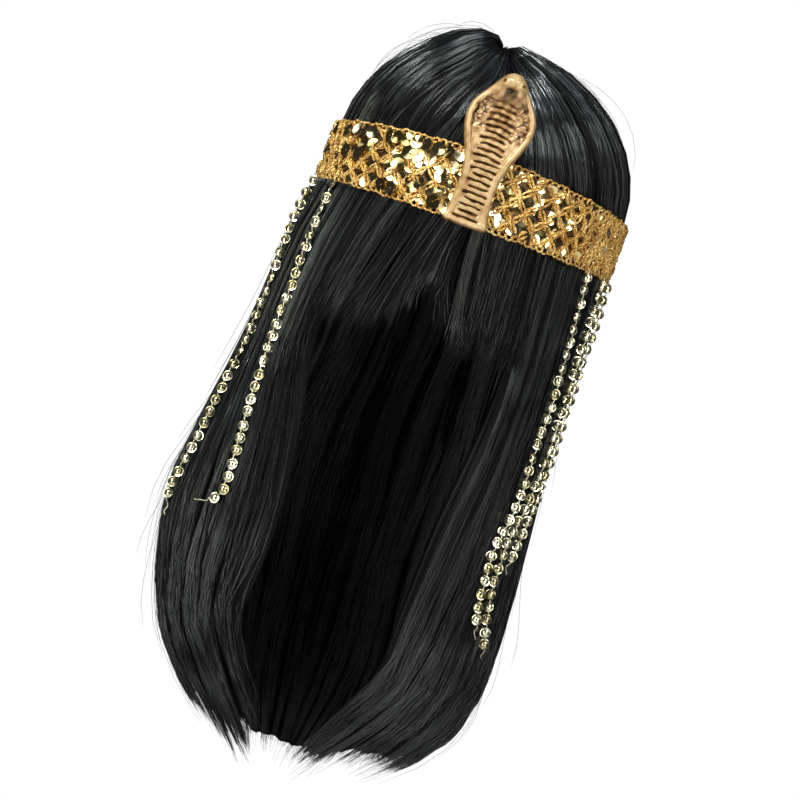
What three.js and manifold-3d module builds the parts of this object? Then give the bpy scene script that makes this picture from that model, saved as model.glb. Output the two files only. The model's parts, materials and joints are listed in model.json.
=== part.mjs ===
// A costume wig of long straight black hair with a fringe, sewn on a close cap. A band of gold
// sequin trim goes round it, with a moulded cobra at the front and strings of sequins that hang
// from the band at both sides.
//
// Millimetres. The origin is inside the cap, on the crown of the head. +Z is up, the face looks
// along -Y, and left is -X, as seen from the front. An angle round the head is 0 at the front,
// 90 at the right and 180 at the back.

import * as THREE from "three";
import { mergeVertices } from "three/addons/utils/BufferGeometryUtils.js";
import Module from "manifold-3d";

const wasm = await Module();
wasm.setup();

// Head, cap and clearances
const HEAD_HALF_WIDTH = 76;
const HEAD_HALF_LENGTH = 93;
const CROWN_HEIGHT = 70; // from the widest part of the head up to its crown
const CAP_WALL = 1.5;
const CAP_SIDES = 20;
const CAP_SWEEPS = [0, 18, 36, 54, 72, 90]; // degrees from the crown down to the widest part
const CAP_RIM_FRONT = 18; // below the widest part
const CAP_RIM_BACK = 60;
const CAP_GAP = 1.5; // cap to hair, which the flat facets narrow
const SEAT_GAP = 0.4; // between other pieces that touch

// Hair over the crown
const HAIR_WALL = 12.3;
const CAP_HALF_WIDTH = HEAD_HALF_WIDTH + CAP_WALL;
const CAP_HALF_LENGTH = HEAD_HALF_LENGTH + CAP_WALL;
const HAIR_HALF_WIDTH = CAP_HALF_WIDTH + CAP_GAP + HAIR_WALL;
const HAIR_HALF_LENGTH = CAP_HALF_LENGTH + CAP_GAP + HAIR_WALL;
const HAIR_HEIGHT = CROWN_HEIGHT + CAP_WALL + CAP_GAP + HAIR_WALL;
const WIDEST_Z = -CROWN_HEIGHT;
const CROWN_FULLNESS = 2.25; // 2 is a round dome, and more is fuller at its shoulders
const PARTING_X = -13;
const PARTING_SHARE = 0.5; // how far along the head the parting reaches, as a share of the rim
const PARTING_GAP = 0.2; // from the parting's line to the hair at each side of it

// Where one panel of hair ends and the next begins, in degrees round the head
const FRINGE_ANGLE = 34;
const BACK_ANGLE = 112;
const PANEL_GAP = 0.3;

// Hair on the crown: how far a lock has swept from the parting to the widest ring, in degrees,
// and how deep the grooves between locks are. Hair that fans out from an end of the parting starts
// a little way along its sweep.
const FAN_START = 3;
const FAN_GAP = 1.2; // from the parting's end to where that hair starts from
const CROWN_ROWS = [
  { sweep: 0, groove: 4.5, wall: HAIR_WALL },
  { sweep: 18, groove: 1.4, wall: HAIR_WALL },
  { sweep: 35, groove: 1.4, wall: HAIR_WALL },
  { sweep: 52, groove: 1.2, wall: HAIR_WALL },
  { sweep: 70, groove: 0.7, wall: HAIR_WALL },
  { sweep: 90, groove: 0, wall: HAIR_WALL },
];

// Hanging hair, from the band down: half width, reach to the front and back, wall and groove, and
// the angle of the front edge beside the face
const HANGING_ROWS = [
  { z: -110, x: HAIR_HALF_WIDTH, front: HAIR_HALF_LENGTH, back: HAIR_HALF_LENGTH, wall: 12.5, groove: 0, edge: 34 },
  { z: -128, x: 96, front: 106, back: 108, wall: 12.5, groove: 1.5, edge: 34 },
  { z: -182, x: 98, front: 101, back: 102, wall: 12, groove: 2.5, edge: 34 },
  { z: -213, x: 100, front: 98, back: 101, wall: 12, groove: 2.5, edge: 31.5 },
  { z: -273, x: 108, front: 99, back: 105, wall: 11, groove: 2.5, edge: 26 },
  { z: -303, x: 111, front: 100, back: 107, wall: 10, groove: 2.5, edge: 24.5 },
  { z: -338, x: 109, front: 98, back: 105, wall: 9, groove: 2.5, edge: 24 },
  { z: -368, x: 104, front: 92, back: 99, wall: 8, groove: 2.2, edge: 22.5 },
  { z: -396, x: 92, front: 81, back: 88, wall: 7, groove: 2, edge: 18 },
  { z: -418, x: 73, front: 64, back: 70, wall: 5, groove: 1.5, edge: 9 },
  { z: -433, x: 50, front: 46, back: 50, wall: 3, groove: 1, edge: 4 },
];
const HEM_Z = HANGING_ROWS.at(-1).z;
const LOCKS_PART_Z = -338; // below this the locks hang apart and end at their own lengths
const HEM_SPREAD = 4;
const HEM_WAVE = 2.4; // radians from lock to lock, so that no length repeats soon
const BACK_DROP = 8; // how much longer the hair is at the back
const HEM_NOTCH = 13;
const SIDE_LOCKS = 8;
const BACK_LOCKS = 9;

// The fringe under the band, and its locks from left to right with the height of each tip
const FRINGE_ROWS = [
  { z: -110, x: HAIR_HALF_WIDTH, front: HAIR_HALF_LENGTH, wall: 11, groove: 0 },
  { z: -130, x: 95, front: 106, wall: 8, groove: 1.5 },
  { z: -152, x: 96, front: 104, wall: 6, groove: 2 },
  { z: -172, x: 97, front: 102, wall: 2.5, groove: 0.6 },
];
const FRINGE_PART_Z = -130;
const FRINGE_NOTCH = 9;
const FRINGE_LOCKS = [
  { tip: -176 },
  { tip: -171 },
  { tip: -178 },
  { tip: -166 },
  { tip: -154 },
  { tip: -168 },
  { tip: -175 },
  { tip: -163 },
  { tip: -174 },
];

// Sequin band
const BAND_HEIGHT = 38.5;
const BAND_WALL = 2;
const BAND_SIDES = 48;
const BAND_MIDDLE_Z = -83;

// Strings of sequins: each path is a few heights below the band with the angle round the head
const SEQUIN_RADIUS = 3;
const SEQUIN_DEPTH = 0.75;
const SEQUIN_PITCH = 8;
const FIRST_SEQUIN = 0.6; // pitches from the band to the first one
const SEQUIN_TURN = 18; // degrees that a sequin is turned on its thread, at most
const TURN_WAVE = 2.1; // radians from one sequin's turn to the next
const THREAD_RADIUS = 0.4;
const STRING_STEP = 3.2; // height between the points that a string follows over the hair
const STRING_CLEARANCE = 1.8; // thread to hair, so that a turned sequin stays clear
const SEQUIN_SECTIONS = [
  { along: -0.97, across: 0.14, depth: 0.5 },
  { along: -0.6, across: 0.8, depth: 0.8 },
  { along: 0, across: 1, depth: 1 },
  { along: 0.6, across: 0.8, depth: 0.8 },
  { along: 0.97, across: 0.14, depth: 0.5 },
];
const STRINGS = [
  {
    name: "sequin_string_left_front",
    path: [
      { below: 0, angle: -57 },
      { below: 32, angle: -54.5 },
      { below: 95, angle: -53.5 },
      { below: 123, angle: -50.5 },
      { below: 171, angle: -44 },
      { below: 190, angle: -42 },
      { below: 200, angle: -42.5 },
      { below: 204, angle: -46 },
      { below: 207, angle: -50 },
    ],
    tail: 8,
  },
  {
    name: "sequin_string_left_side",
    path: [
      { below: 0, angle: -76 },
      { below: 50, angle: -72 },
      { below: 110, angle: -70 },
      { below: 170, angle: -68 },
      { below: 195, angle: -69.5 },
      { below: 206, angle: -73 },
      { below: 218, angle: -71 },
    ],
    tail: 5,
  },
  {
    name: "sequin_string_right_front",
    path: [
      { below: 0, angle: 57 },
      { below: 80, angle: 61.5 },
      { below: 140, angle: 58.5 },
      { below: 177, angle: 51.5 },
      { below: 208, angle: 52 },
      { below: 225, angle: 55 },
    ],
    tail: 4,
  },
  {
    name: "sequin_string_right_middle",
    path: [
      { below: 0, angle: 72 },
      { below: 80, angle: 72 },
      { below: 110, angle: 71.5 },
      { below: 140, angle: 65 },
      { below: 170, angle: 57.5 },
      { below: 200, angle: 56.5 },
      { below: 217, angle: 59 },
      { below: 233, angle: 63 },
    ],
    tail: 5,
  },
  {
    name: "sequin_string_right_side",
    path: [
      { below: 0, angle: 86 },
      { below: 50, angle: 81 },
      { below: 110, angle: 79 },
      { below: 146, angle: 70 },
      { below: 168, angle: 65.5 },
      { below: 182, angle: 62.5 },
    ],
    tail: 4,
  },
];

// Cobra: half width, height of the rim and of the sunken front above its flat back, and how far
// it leans back, each at a height up from its foot
const COBRA_FOOT_Z = -106;
const COBRA_RIM = 3.3;
const COBRA_RIM_SHARE = 0.3; // of the half width, where that is less
const COBRA_CREST = 0.3; // of the rim's width, from its outer edge to its crest
const COBRA_SIDE = 0.4; // of the rim's height, up to the widest line of the side
const COBRA_BACK_TAPER = 0.94;
const COBRA_SECTIONS = [
  { up: 0, half: 12.2, rim: 3.8, front: 3.2, lean: 0 },
  { up: 3, half: 13.4, rim: 5, front: 2.6, lean: 0 },
  { up: 10, half: 12, rim: 5, front: 2.6, lean: 0 },
  { up: 23, half: 10.8, rim: 5, front: 2.6, lean: 0 },
  { up: 32, half: 11.6, rim: 5.2, front: 2.7, lean: 0 },
  { up: 42, half: 14.6, rim: 5.6, front: 2.8, lean: 0 },
  { up: 50, half: 17.6, rim: 6, front: 2.8, lean: 1.4 },
  { up: 58, half: 20, rim: 6.2, front: 2.8, lean: 3.2 },
  { up: 64, half: 20.9, rim: 6.4, front: 3, lean: 4.8 },
  { up: 70, half: 20.3, rim: 6.8, front: 4.2, lean: 6.4 },
  { up: 75, half: 18.2, rim: 7.4, front: 8.2, lean: 7.6 },
  { up: 80, half: 15.4, rim: 8, front: 13.5, lean: 8.6 },
  { up: 85, half: 11.9, rim: 8.6, front: 16, lean: 9.2 },
  { up: 89, half: 8.8, rim: 8.6, front: 15.4, lean: 9.6 },
  { up: 92, half: 6, rim: 8, front: 12, lean: 9.8 },
  { up: 93.5, half: 3.2, rim: 6.5, front: 8, lean: 10 },
];
const COBRA_RIBS = { first: 5, last: 66, count: 17, height: 1.5, inset: 1.4 };
const COBRA_EYE = { radius: 1.5, out: 6.4, up: 86, front: 12.6 };

const MATERIALS = {
  cap: new THREE.MeshStandardMaterial({ color: 0x17171a, roughness: 0.9, metalness: 0 }),
  hair: new THREE.MeshStandardMaterial({ color: 0x0e0e10, roughness: 0.4, metalness: 0 }),
  sequinTrim: new THREE.MeshStandardMaterial({ color: 0xc79a3c, roughness: 0.3, metalness: 0.9 }),
  sequins: new THREE.MeshStandardMaterial({ color: 0xcfc48f, roughness: 0.2, metalness: 1 }),
  antiqueGold: new THREE.MeshStandardMaterial({ color: 0xb98a4b, roughness: 0.5, metalness: 0.3 }),
};

// Mesh helpers

// A closed body through rings of points. Each ring has an even number of points. The first and last
// rings are closed by a strip across them, or joined to each other when the loft goes all the way round.
function loft(rings, allRound = false) {
  const size = rings[0].length;
  const triangles = [];
  const quad = (a, b, c, d) => triangles.push(a, b, c, a, c, d);
  const joints = allRound ? rings.length : rings.length - 1;
  for (let r = 0; r < joints; r++) {
    const low = r * size;
    const high = ((r + 1) % rings.length) * size;
    for (let i = 0; i < size; i++) {
      const j = (i + 1) % size;
      quad(low + i, low + j, high + j, high + i);
    }
  }
  if (!allRound) {
    const last = (rings.length - 1) * size;
    for (let i = 0; i < size / 2 - 1; i++) {
      const facing = size - 1 - i;
      quad(facing - 1, i + 1, i, facing);
      quad(last + i, last + i + 1, last + facing - 1, last + facing);
    }
  }
  return outwardGeometry(rings.flat(), triangles);
}

// A geometry whose triangles are turned round where they would face inwards
function outwardGeometry(points, triangles) {
  let volume = 0;
  for (let t = 0; t < triangles.length; t += 3) {
    const [a, b, c] = triangles.slice(t, t + 3).map((i) => points[i]);
    volume += a.dot(new THREE.Vector3().crossVectors(b, c));
  }
  const geometry = new THREE.BufferGeometry().setFromPoints(points);
  geometry.setIndex(volume < 0 ? triangles.reverse() : triangles);
  return geometry;
}

function solidOf(geometry) {
  const bare = geometry.clone();
  bare.deleteAttribute("normal");
  bare.deleteAttribute("uv");
  const merged = mergeVertices(bare, 1e-4);
  return new wasm.Manifold(
    new wasm.Mesh({
      numProp: 3,
      vertProperties: merged.attributes.position.array,
      triVerts: new Uint32Array(merged.index.array),
    }),
  );
}

function geometryOf(solid) {
  const mesh = solid.getMesh();
  const geometry = new THREE.BufferGeometry();
  geometry.setAttribute("position", new THREE.BufferAttribute(mesh.vertProperties, 3));
  geometry.setIndex(new THREE.BufferAttribute(mesh.triVerts, 1));
  return geometry;
}

function addPiece(group, name, geometry, material) {
  geometry.computeVertexNormals();
  const mesh = new THREE.Mesh(geometry, material);
  mesh.name = name;
  group.add(mesh);
}

// Every named number of a table, in between two of its rows
function rowAt(table, key, value) {
  const rising = table.at(-1)[key] > table[0][key];
  const after = table.findIndex((row) => (rising ? row[key] >= value : row[key] <= value));
  if (after === 0) return { ...table[0] };
  if (after < 0) return { ...table.at(-1) };
  const [low, high] = [table[after - 1], table[after]];
  const share = (value - low[key]) / (high[key] - low[key]);
  const between = Object.keys(low).map((name) => [name, THREE.MathUtils.lerp(low[name], high[name], share)]);
  return Object.fromEntries(between);
}

// The cap: a dome that follows the head, with a rim that dips to the nape

function capGeometry() {
  const profile = [];
  const addDome = (radius, height, sweeps) => {
    for (const sweep of sweeps) {
      const turn = THREE.MathUtils.degToRad(sweep);
      profile.push(new THREE.Vector2(radius * Math.sin(turn), height * Math.cos(turn)));
    }
  };
  addDome(HEAD_HALF_WIDTH, CROWN_HEIGHT, CAP_SWEEPS);
  const rimMark = -1; // a height of 1 below the widest part, which becomes the rim's own depth
  profile.push(new THREE.Vector2(HEAD_HALF_WIDTH, rimMark));
  profile.push(new THREE.Vector2(CAP_HALF_WIDTH, rimMark));
  addDome(CAP_HALF_WIDTH, CROWN_HEIGHT + CAP_WALL, CAP_SWEEPS.toReversed());
  const geometry = new THREE.LatheGeometry(profile, CAP_SIDES);
  geometry.rotateX(Math.PI / 2);
  const places = geometry.getAttribute("position");
  for (let i = 0; i < places.count; i++) {
    const toBack = (1 + places.getY(i) / CAP_HALF_WIDTH) / 2;
    const rim = THREE.MathUtils.lerp(CAP_RIM_FRONT, CAP_RIM_BACK, toBack);
    const z = places.getZ(i);
    places.setZ(i, WIDEST_Z + (z < 0 ? z * rim : z));
    places.setY(i, (places.getY(i) * CAP_HALF_LENGTH) / CAP_HALF_WIDTH);
  }
  return geometryOf(solidOf(geometry));
}

// Hair surfaces. The inset is how far a point lies inside the outer form.

function crownPoint(row, angle, inset, root) {
  const turn = THREE.MathUtils.degToRad(angle);
  const halfWidth = HAIR_HALF_WIDTH - inset;
  const halfLength = HAIR_HALF_LENGTH - inset;
  const rim = new THREE.Vector2(halfWidth * Math.sin(turn), -halfLength * Math.cos(turn));
  const plan = root.clone().lerp(rim, Math.sin(THREE.MathUtils.degToRad(row.sweep)));
  const spread = Math.hypot(plan.x / halfWidth, plan.y / halfLength) ** CROWN_FULLNESS;
  const z = WIDEST_Z + (HAIR_HEIGHT - inset) * Math.max(0, 1 - spread) ** (1 / CROWN_FULLNESS);
  return new THREE.Vector3(plan.x, plan.y, z);
}

function hangingPoint(row, angle, inset) {
  const turn = THREE.MathUtils.degToRad(angle);
  const reach = Math.cos(turn) > 0 ? row.front : row.back;
  return new THREE.Vector3((row.x - inset) * Math.sin(turn), -(reach - inset) * Math.cos(turn), row.z);
}

function partingRoot(angle, side) {
  const y = -PARTING_SHARE * HAIR_HALF_LENGTH * Math.cos(THREE.MathUtils.degToRad(angle));
  return new THREE.Vector2(PARTING_X + side * PARTING_GAP, y);
}

// Columns of a panel of locks: a ridge for each lock, with a groove at each side of it
function lockColumns(locks, notch) {
  const columns = [{ share: 0, ridge: false, tip: locks[0].tip + notch }];
  locks.forEach((lock, k) => {
    const next = locks[k + 1] ?? lock;
    columns.push({ share: (k + 0.5) / locks.length, ridge: true, tip: lock.tip });
    columns.push({ share: (k + 1) / locks.length, ridge: false, tip: (lock.tip + next.tip) / 2 + notch });
  });
  return columns;
}

// A panel of hair: one wall from the parting over the crown and down to its locks' tips
function hairPanel({ hanging, start, partZ, columns, rootAt, from, to }) {
  const rows = [{ ...CROWN_ROWS[0], sweep: start }, ...CROWN_ROWS.slice(1), ...hanging];
  const lastZ = hanging.at(-1).z;
  const pointOn = (row, column, inset) => {
    const angle = THREE.MathUtils.lerp(from(row), to(row), column.share);
    if (row.z === undefined) return crownPoint(row, angle, inset, rootAt(angle));
    const point = hangingPoint(row, angle, inset);
    if (row.z < partZ) {
      point.z = partZ + ((row.z - partZ) * (column.tip - partZ)) / (lastZ - partZ);
    }
    return point;
  };
  const rings = rows.map((row, r) => {
    const grooved = (column) => (column.ridge && r > 0 ? 0 : row.groove);
    const outer = columns.map((column) => pointOn(row, column, grooved(column)));
    const inner = columns.map((column) => pointOn(row, column, row.wall));
    return [...outer, ...inner.reverse()];
  });
  return loft(rings);
}

function hangingLocks(count, hem) {
  return Array.from({ length: count }, (_, k) => ({ tip: hem + HEM_SPREAD * Math.sin(HEM_WAVE * k) }));
}

function sideHair(side) {
  return hairPanel({
    hanging: HANGING_ROWS,
    start: 0,
    partZ: LOCKS_PART_Z,
    columns: lockColumns(hangingLocks(SIDE_LOCKS, HEM_Z), HEM_NOTCH),
    rootAt: (angle) => partingRoot(angle, side),
    from: (row) => side * ((row.edge ?? FRINGE_ANGLE) + PANEL_GAP),
    to: () => side * (BACK_ANGLE - PANEL_GAP),
  });
}

function backHair() {
  const root = partingRoot(BACK_ANGLE, 0);
  root.y += FAN_GAP;
  return hairPanel({
    hanging: HANGING_ROWS,
    start: FAN_START,
    partZ: LOCKS_PART_Z,
    columns: lockColumns(hangingLocks(BACK_LOCKS, HEM_Z - BACK_DROP), HEM_NOTCH),
    rootAt: () => root,
    from: () => BACK_ANGLE,
    to: () => 360 - BACK_ANGLE,
  });
}

function fringeHair() {
  const root = partingRoot(FRINGE_ANGLE, 0);
  root.y -= FAN_GAP;
  return hairPanel({
    hanging: FRINGE_ROWS,
    start: FAN_START,
    partZ: FRINGE_PART_Z,
    columns: lockColumns(FRINGE_LOCKS, FRINGE_NOTCH),
    rootAt: () => root,
    from: () => -FRINGE_ANGLE,
    to: () => FRINGE_ANGLE,
  });
}

// The band: a ring of trim that lies on the hair

function bandGeometry() {
  const ringAt = (angle) => {
    const turn = THREE.MathUtils.degToRad(angle);
    const corner = (out, up) => {
      const x = (HAIR_HALF_WIDTH + SEAT_GAP + out) * Math.sin(turn);
      const y = -(HAIR_HALF_LENGTH + SEAT_GAP + out) * Math.cos(turn);
      return new THREE.Vector3(x, y, BAND_MIDDLE_Z + up * (BAND_HEIGHT / 2));
    };
    return [corner(0, -1), corner(BAND_WALL, -1), corner(BAND_WALL, 1), corner(0, 1)];
  };
  const rings = Array.from({ length: BAND_SIDES }, (_, i) => ringAt((360 * i) / BAND_SIDES));
  return loft(rings, true);
}

// A string of sequins: one thread that widens into a sequin at every pitch

function stringLine({ path, tail }) {
  const topZ = BAND_MIDDLE_Z - BAND_HEIGHT / 2 - SEAT_GAP;
  const points = [];
  for (let below = 0; below <= path.at(-1).below; below += STRING_STEP) {
    const { angle } = rowAt(path, "below", below);
    const surface = rowAt(HANGING_ROWS, "z", topZ - below);
    points.push(hangingPoint({ ...surface, z: topZ - below }, angle, -STRING_CLEARANCE));
  }
  const end = points.at(-1);
  const onwards = end.clone().sub(points.at(-2)).setLength(tail);
  points.push(end.clone().add(onwards));
  return new THREE.CatmullRomCurve3(points);
}

function stringGeometry(string) {
  const line = stringLine(string);
  const length = line.getLength();
  const count = Math.floor((length - string.tail) / SEQUIN_PITCH);
  const outAt = (point) => new THREE.Vector3(point.x, point.y, 0).normalize();
  const section = (distance, halfWidth, halfDepth, turn) => {
    const share = THREE.MathUtils.clamp(distance / length, 0, 1);
    const point = line.getPointAt(share);
    const along = line.getTangentAt(share);
    const across = new THREE.Vector3().crossVectors(along, outAt(point)).normalize();
    across.applyAxisAngle(along, turn);
    const facing = new THREE.Vector3().crossVectors(across, along);
    const at = (x, y) => point.clone().addScaledVector(across, x).addScaledVector(facing, y);
    return [at(-halfWidth, 0), at(0, halfDepth), at(halfWidth, 0), at(0, -halfDepth)];
  };
  const rings = [section(0, THREAD_RADIUS, THREAD_RADIUS, 0)];
  for (let k = 0; k < count; k++) {
    const middle = (k + FIRST_SEQUIN) * SEQUIN_PITCH;
    const turn = THREE.MathUtils.degToRad(SEQUIN_TURN) * Math.sin(TURN_WAVE * k + STRINGS.indexOf(string));
    for (const { along, across, depth } of SEQUIN_SECTIONS) {
      const distance = middle + along * SEQUIN_RADIUS;
      rings.push(section(distance, across * SEQUIN_RADIUS, depth * SEQUIN_DEPTH, turn));
    }
  }
  rings.push(section(length, THREAD_RADIUS, THREAD_RADIUS, 0));
  return loft(rings);
}

// The cobra: a raised rim round a sunken, ribbed front, with the head standing out at the top

function cobraRing(row, rib) {
  const rimWidth = Math.min(COBRA_RIM, COBRA_RIM_SHARE * row.half);
  const inside = row.half - rimWidth;
  const ribEnd = Math.max(inside - COBRA_RIBS.inset, inside / 2);
  const sunken = row.front < row.rim;
  const left = [
    [-row.half, COBRA_SIDE * row.rim],
    [-row.half + COBRA_CREST * rimWidth, row.rim],
    [-inside, sunken ? row.front : (row.front + row.rim) / 2],
    [-ribEnd, row.front + rib],
  ];
  const front = [...left, ...left.toReversed().map(([x, out]) => [-x, out])];
  const back = front.toReversed().map(([x]) => [COBRA_BACK_TAPER * x, 0]);
  const toPoint = ([x, out]) => new THREE.Vector3(x, row.lean - out, row.up);
  return [...front, ...back].map(toPoint);
}

function cobraGeometry() {
  const { first, last, count, height } = COBRA_RIBS;
  const pitch = (last - first) / (2 * count);
  const plain = COBRA_SECTIONS.filter(({ up }) => up < first || up > last);
  const rows = plain.map((row) => ({ row, rib: 0 }));
  for (let k = 0; k <= 2 * count; k++) {
    rows.push({ row: rowAt(COBRA_SECTIONS, "up", first + k * pitch), rib: (k % 2) * height });
  }
  rows.sort((a, b) => a.row.up - b.row.up);
  const body = solidOf(loft(rows.map(({ row, rib }) => cobraRing(row, rib))));
  const lean = rowAt(COBRA_SECTIONS, "up", COBRA_EYE.up).lean;
  const eyes = [-1, 1].map((side) => {
    const ball = new THREE.SphereGeometry(COBRA_EYE.radius, 8, 6);
    ball.translate(side * COBRA_EYE.out, lean - COBRA_EYE.front, COBRA_EYE.up);
    return solidOf(ball);
  });
  const geometry = geometryOf(eyes.reduce((whole, eye) => whole.add(eye), body));
  const bandFront = HAIR_HALF_LENGTH + SEAT_GAP + BAND_WALL;
  return geometry.translate(0, -bandFront - SEAT_GAP, COBRA_FOOT_Z);
}

// The wig

const wig = new THREE.Group();
addPiece(wig, "cap", capGeometry(), MATERIALS.cap);
addPiece(wig, "hair_left", sideHair(-1), MATERIALS.hair);
addPiece(wig, "hair_right", sideHair(1), MATERIALS.hair);
addPiece(wig, "hair_back", backHair(), MATERIALS.hair);
addPiece(wig, "fringe", fringeHair(), MATERIALS.hair);
addPiece(wig, "headband", bandGeometry(), MATERIALS.sequinTrim);
addPiece(wig, "cobra", cobraGeometry(), MATERIALS.antiqueGold);
for (const string of STRINGS) {
  addPiece(wig, string.name, stringGeometry(string), MATERIALS.sequins);
}

export default wig;
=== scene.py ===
# %% [markdown]
# # An Egyptian queen's wig
# The wig is long straight black hair with a fringe, a gold sequin headband with a plastic cobra, and
# five hanging strings of pale gold sequins. Its plain solids are the frame of this lesson, and each
# one is dressed here with hair, sequins, braid or paint that keeps its form.
#
# ## The frame
# The solids come first, because each dressed piece takes its place and size from one of them and
# then stands in for it.

import json
import math

import bpy
import numpy as np
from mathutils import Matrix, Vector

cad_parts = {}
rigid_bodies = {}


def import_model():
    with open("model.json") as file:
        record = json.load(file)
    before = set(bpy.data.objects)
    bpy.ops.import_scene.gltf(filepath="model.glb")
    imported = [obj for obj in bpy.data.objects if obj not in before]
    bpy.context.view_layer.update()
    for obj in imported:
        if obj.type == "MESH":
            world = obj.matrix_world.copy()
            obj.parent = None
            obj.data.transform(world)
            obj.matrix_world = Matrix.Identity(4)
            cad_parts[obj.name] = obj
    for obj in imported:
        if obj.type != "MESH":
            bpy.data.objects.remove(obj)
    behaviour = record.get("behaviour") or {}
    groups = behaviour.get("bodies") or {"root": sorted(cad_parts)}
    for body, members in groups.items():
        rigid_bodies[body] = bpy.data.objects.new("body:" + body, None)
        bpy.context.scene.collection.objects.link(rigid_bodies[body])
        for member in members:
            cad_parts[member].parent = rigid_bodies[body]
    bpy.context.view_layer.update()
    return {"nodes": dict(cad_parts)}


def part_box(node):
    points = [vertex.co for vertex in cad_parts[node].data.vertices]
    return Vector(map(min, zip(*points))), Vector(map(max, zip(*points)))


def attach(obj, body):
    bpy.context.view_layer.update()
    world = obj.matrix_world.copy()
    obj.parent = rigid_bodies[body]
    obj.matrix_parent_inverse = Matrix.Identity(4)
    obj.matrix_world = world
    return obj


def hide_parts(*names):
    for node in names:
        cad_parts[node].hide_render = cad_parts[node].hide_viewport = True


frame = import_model()
MM = 0.001
print("solids:", ", ".join(sorted(frame["nodes"])))

# %% [markdown]
# ## Sizes
# All sizes are in millimetres, and angles go around the wig in degrees: 0 is the front, 90 the right
# as seen from the front, on +X, and 180 the back. The hair's half width and half length follow from
# the band, which sits on the hair all round with a small gap. The crown is a dome that is a little
# fuller than round, with its top left of the middle.

# %% Sizes from the frame
BAND_WALL = 2.0
SEAT_GAP = 0.4
band_low, band_high = (np.array(corner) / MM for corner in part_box("headband"))
COBRA_FOOT_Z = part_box("cobra")[0].z / MM
BAND_HEIGHT = band_high[2] - band_low[2]
BAND_MIDDLE_Z = (band_high[2] + band_low[2]) / 2
HAIR_HALF_WIDTH = band_high[0] - BAND_WALL - SEAT_GAP
HAIR_HALF_LENGTH = band_high[1] - BAND_WALL - SEAT_GAP
WIDEST_Z = -70.0
HAIR_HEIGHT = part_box("hair_right")[1].z / MM - WIDEST_Z
PARTING_X = -13.0
PARTING_SHARE = 0.5  # of the half length, where the parting's ends would be
CROWN_FULLNESS = 2.1  # 2 is a round dome
CROWN_LEAN = -0.175  # of the half width, where the dome's top lies
CROWN_SLANT = 20.0  # how far round the hair leans at the parting
FRINGE_ANGLE = 34.0
BACK_ANGLE = 112.0
print("hair", HAIR_HALF_WIDTH, HAIR_HALF_LENGTH, HAIR_HEIGHT, "band", BAND_HEIGHT, BAND_MIDDLE_Z)

# %% [markdown]
# Below the band the hair hangs on one surface of stacked ellipses. The table gives the half width,
# the reach to the front and to the back, the angles at which the hair of the two sides begins beside
# the open front, and how far that level has drifted sideways. A smooth curve through the rows leaves
# no kinks in the strands that follow it.

# %% The surface of the hair
HANGING = np.array(
    [
        (-93, 90.5, 108.0, 107.4, 34.0, 34.0, 0.0),
        (-103, 92.8, 107.4, 108.6, 34.0, 34.0, -0.6),
        (-113, 94.4, 106.6, 108.9, 34.0, 34.0, -1.4),
        (-128, 96.2, 105.4, 108.0, 35.0, 35.0, -2.2),
        (-182, 98.4, 101.0, 102.0, 39.5, 38.5, -2.4),
        (-213, 100.4, 98.0, 101.0, 36.5, 38.0, -2.8),
        (-243, 104.0, 98.5, 103.0, 29.5, 35.0, -3.4),
        (-273, 107.5, 99.0, 105.0, 25.0, 32.0, -4.0),
        (-303, 110.5, 100.0, 107.0, 22.5, 30.0, -4.2),
        (-338, 109.0, 98.0, 105.0, 25.0, 27.0, -1.0),
        (-368, 104.0, 92.0, 99.0, 29.5, 25.0, 3.0),
        (-396, 93.0, 82.0, 89.0, 21.0, 15.5, 6.0),
        (-418, 75.0, 66.0, 74.0, 14.0, 9.0, 7.5),
        (-433, 57.5, 49.0, 57.0, 7.0, 4.0, 7.5),
        (-452, 36.0, 32.0, 38.0, 2.0, 2.0, 6.0),
    ],
    dtype=[(name, float) for name in ("z", "x", "front", "back", "left", "right", "drift")],
)


def smooth_step(value, low, high):
    """0 below the low value, 1 above the high one, and a soft rise in between."""
    t = np.clip((value - low) / (high - low), 0, 1)
    return t * t * (3 - 2 * t)


def along_rows(column, z):
    """A column of the table at the heights z, on a smooth curve through its rows."""
    heights = HANGING["z"][::-1]
    values = HANGING[column][::-1]
    slopes = np.gradient(values, heights)
    z = np.clip(z, heights[0], heights[-1])
    row = np.clip(np.searchsorted(heights, z) - 1, 0, len(heights) - 2)
    step = heights[row + 1] - heights[row]
    t = (z - heights[row]) / step
    start = (2 * t**3 - 3 * t**2 + 1) * values[row] + (t**3 - 2 * t**2 + t) * step * slopes[row]
    end = (3 * t**2 - 2 * t**3) * values[row + 1] + (t**3 - t**2) * step * slopes[row + 1]
    return start + end


def hanging_point(angle, z, inset):
    """Points of the hanging hair at these angles and heights, set in from its outside."""
    turn = np.radians(angle)
    reach = np.where(np.cos(turn) > 0, along_rows("front", z), along_rows("back", z)) - inset
    x = (along_rows("x", z) - inset) * np.sin(turn) + along_rows("drift", z)
    return np.stack(np.broadcast_arrays(x, -reach * np.cos(turn), z), -1)


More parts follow.
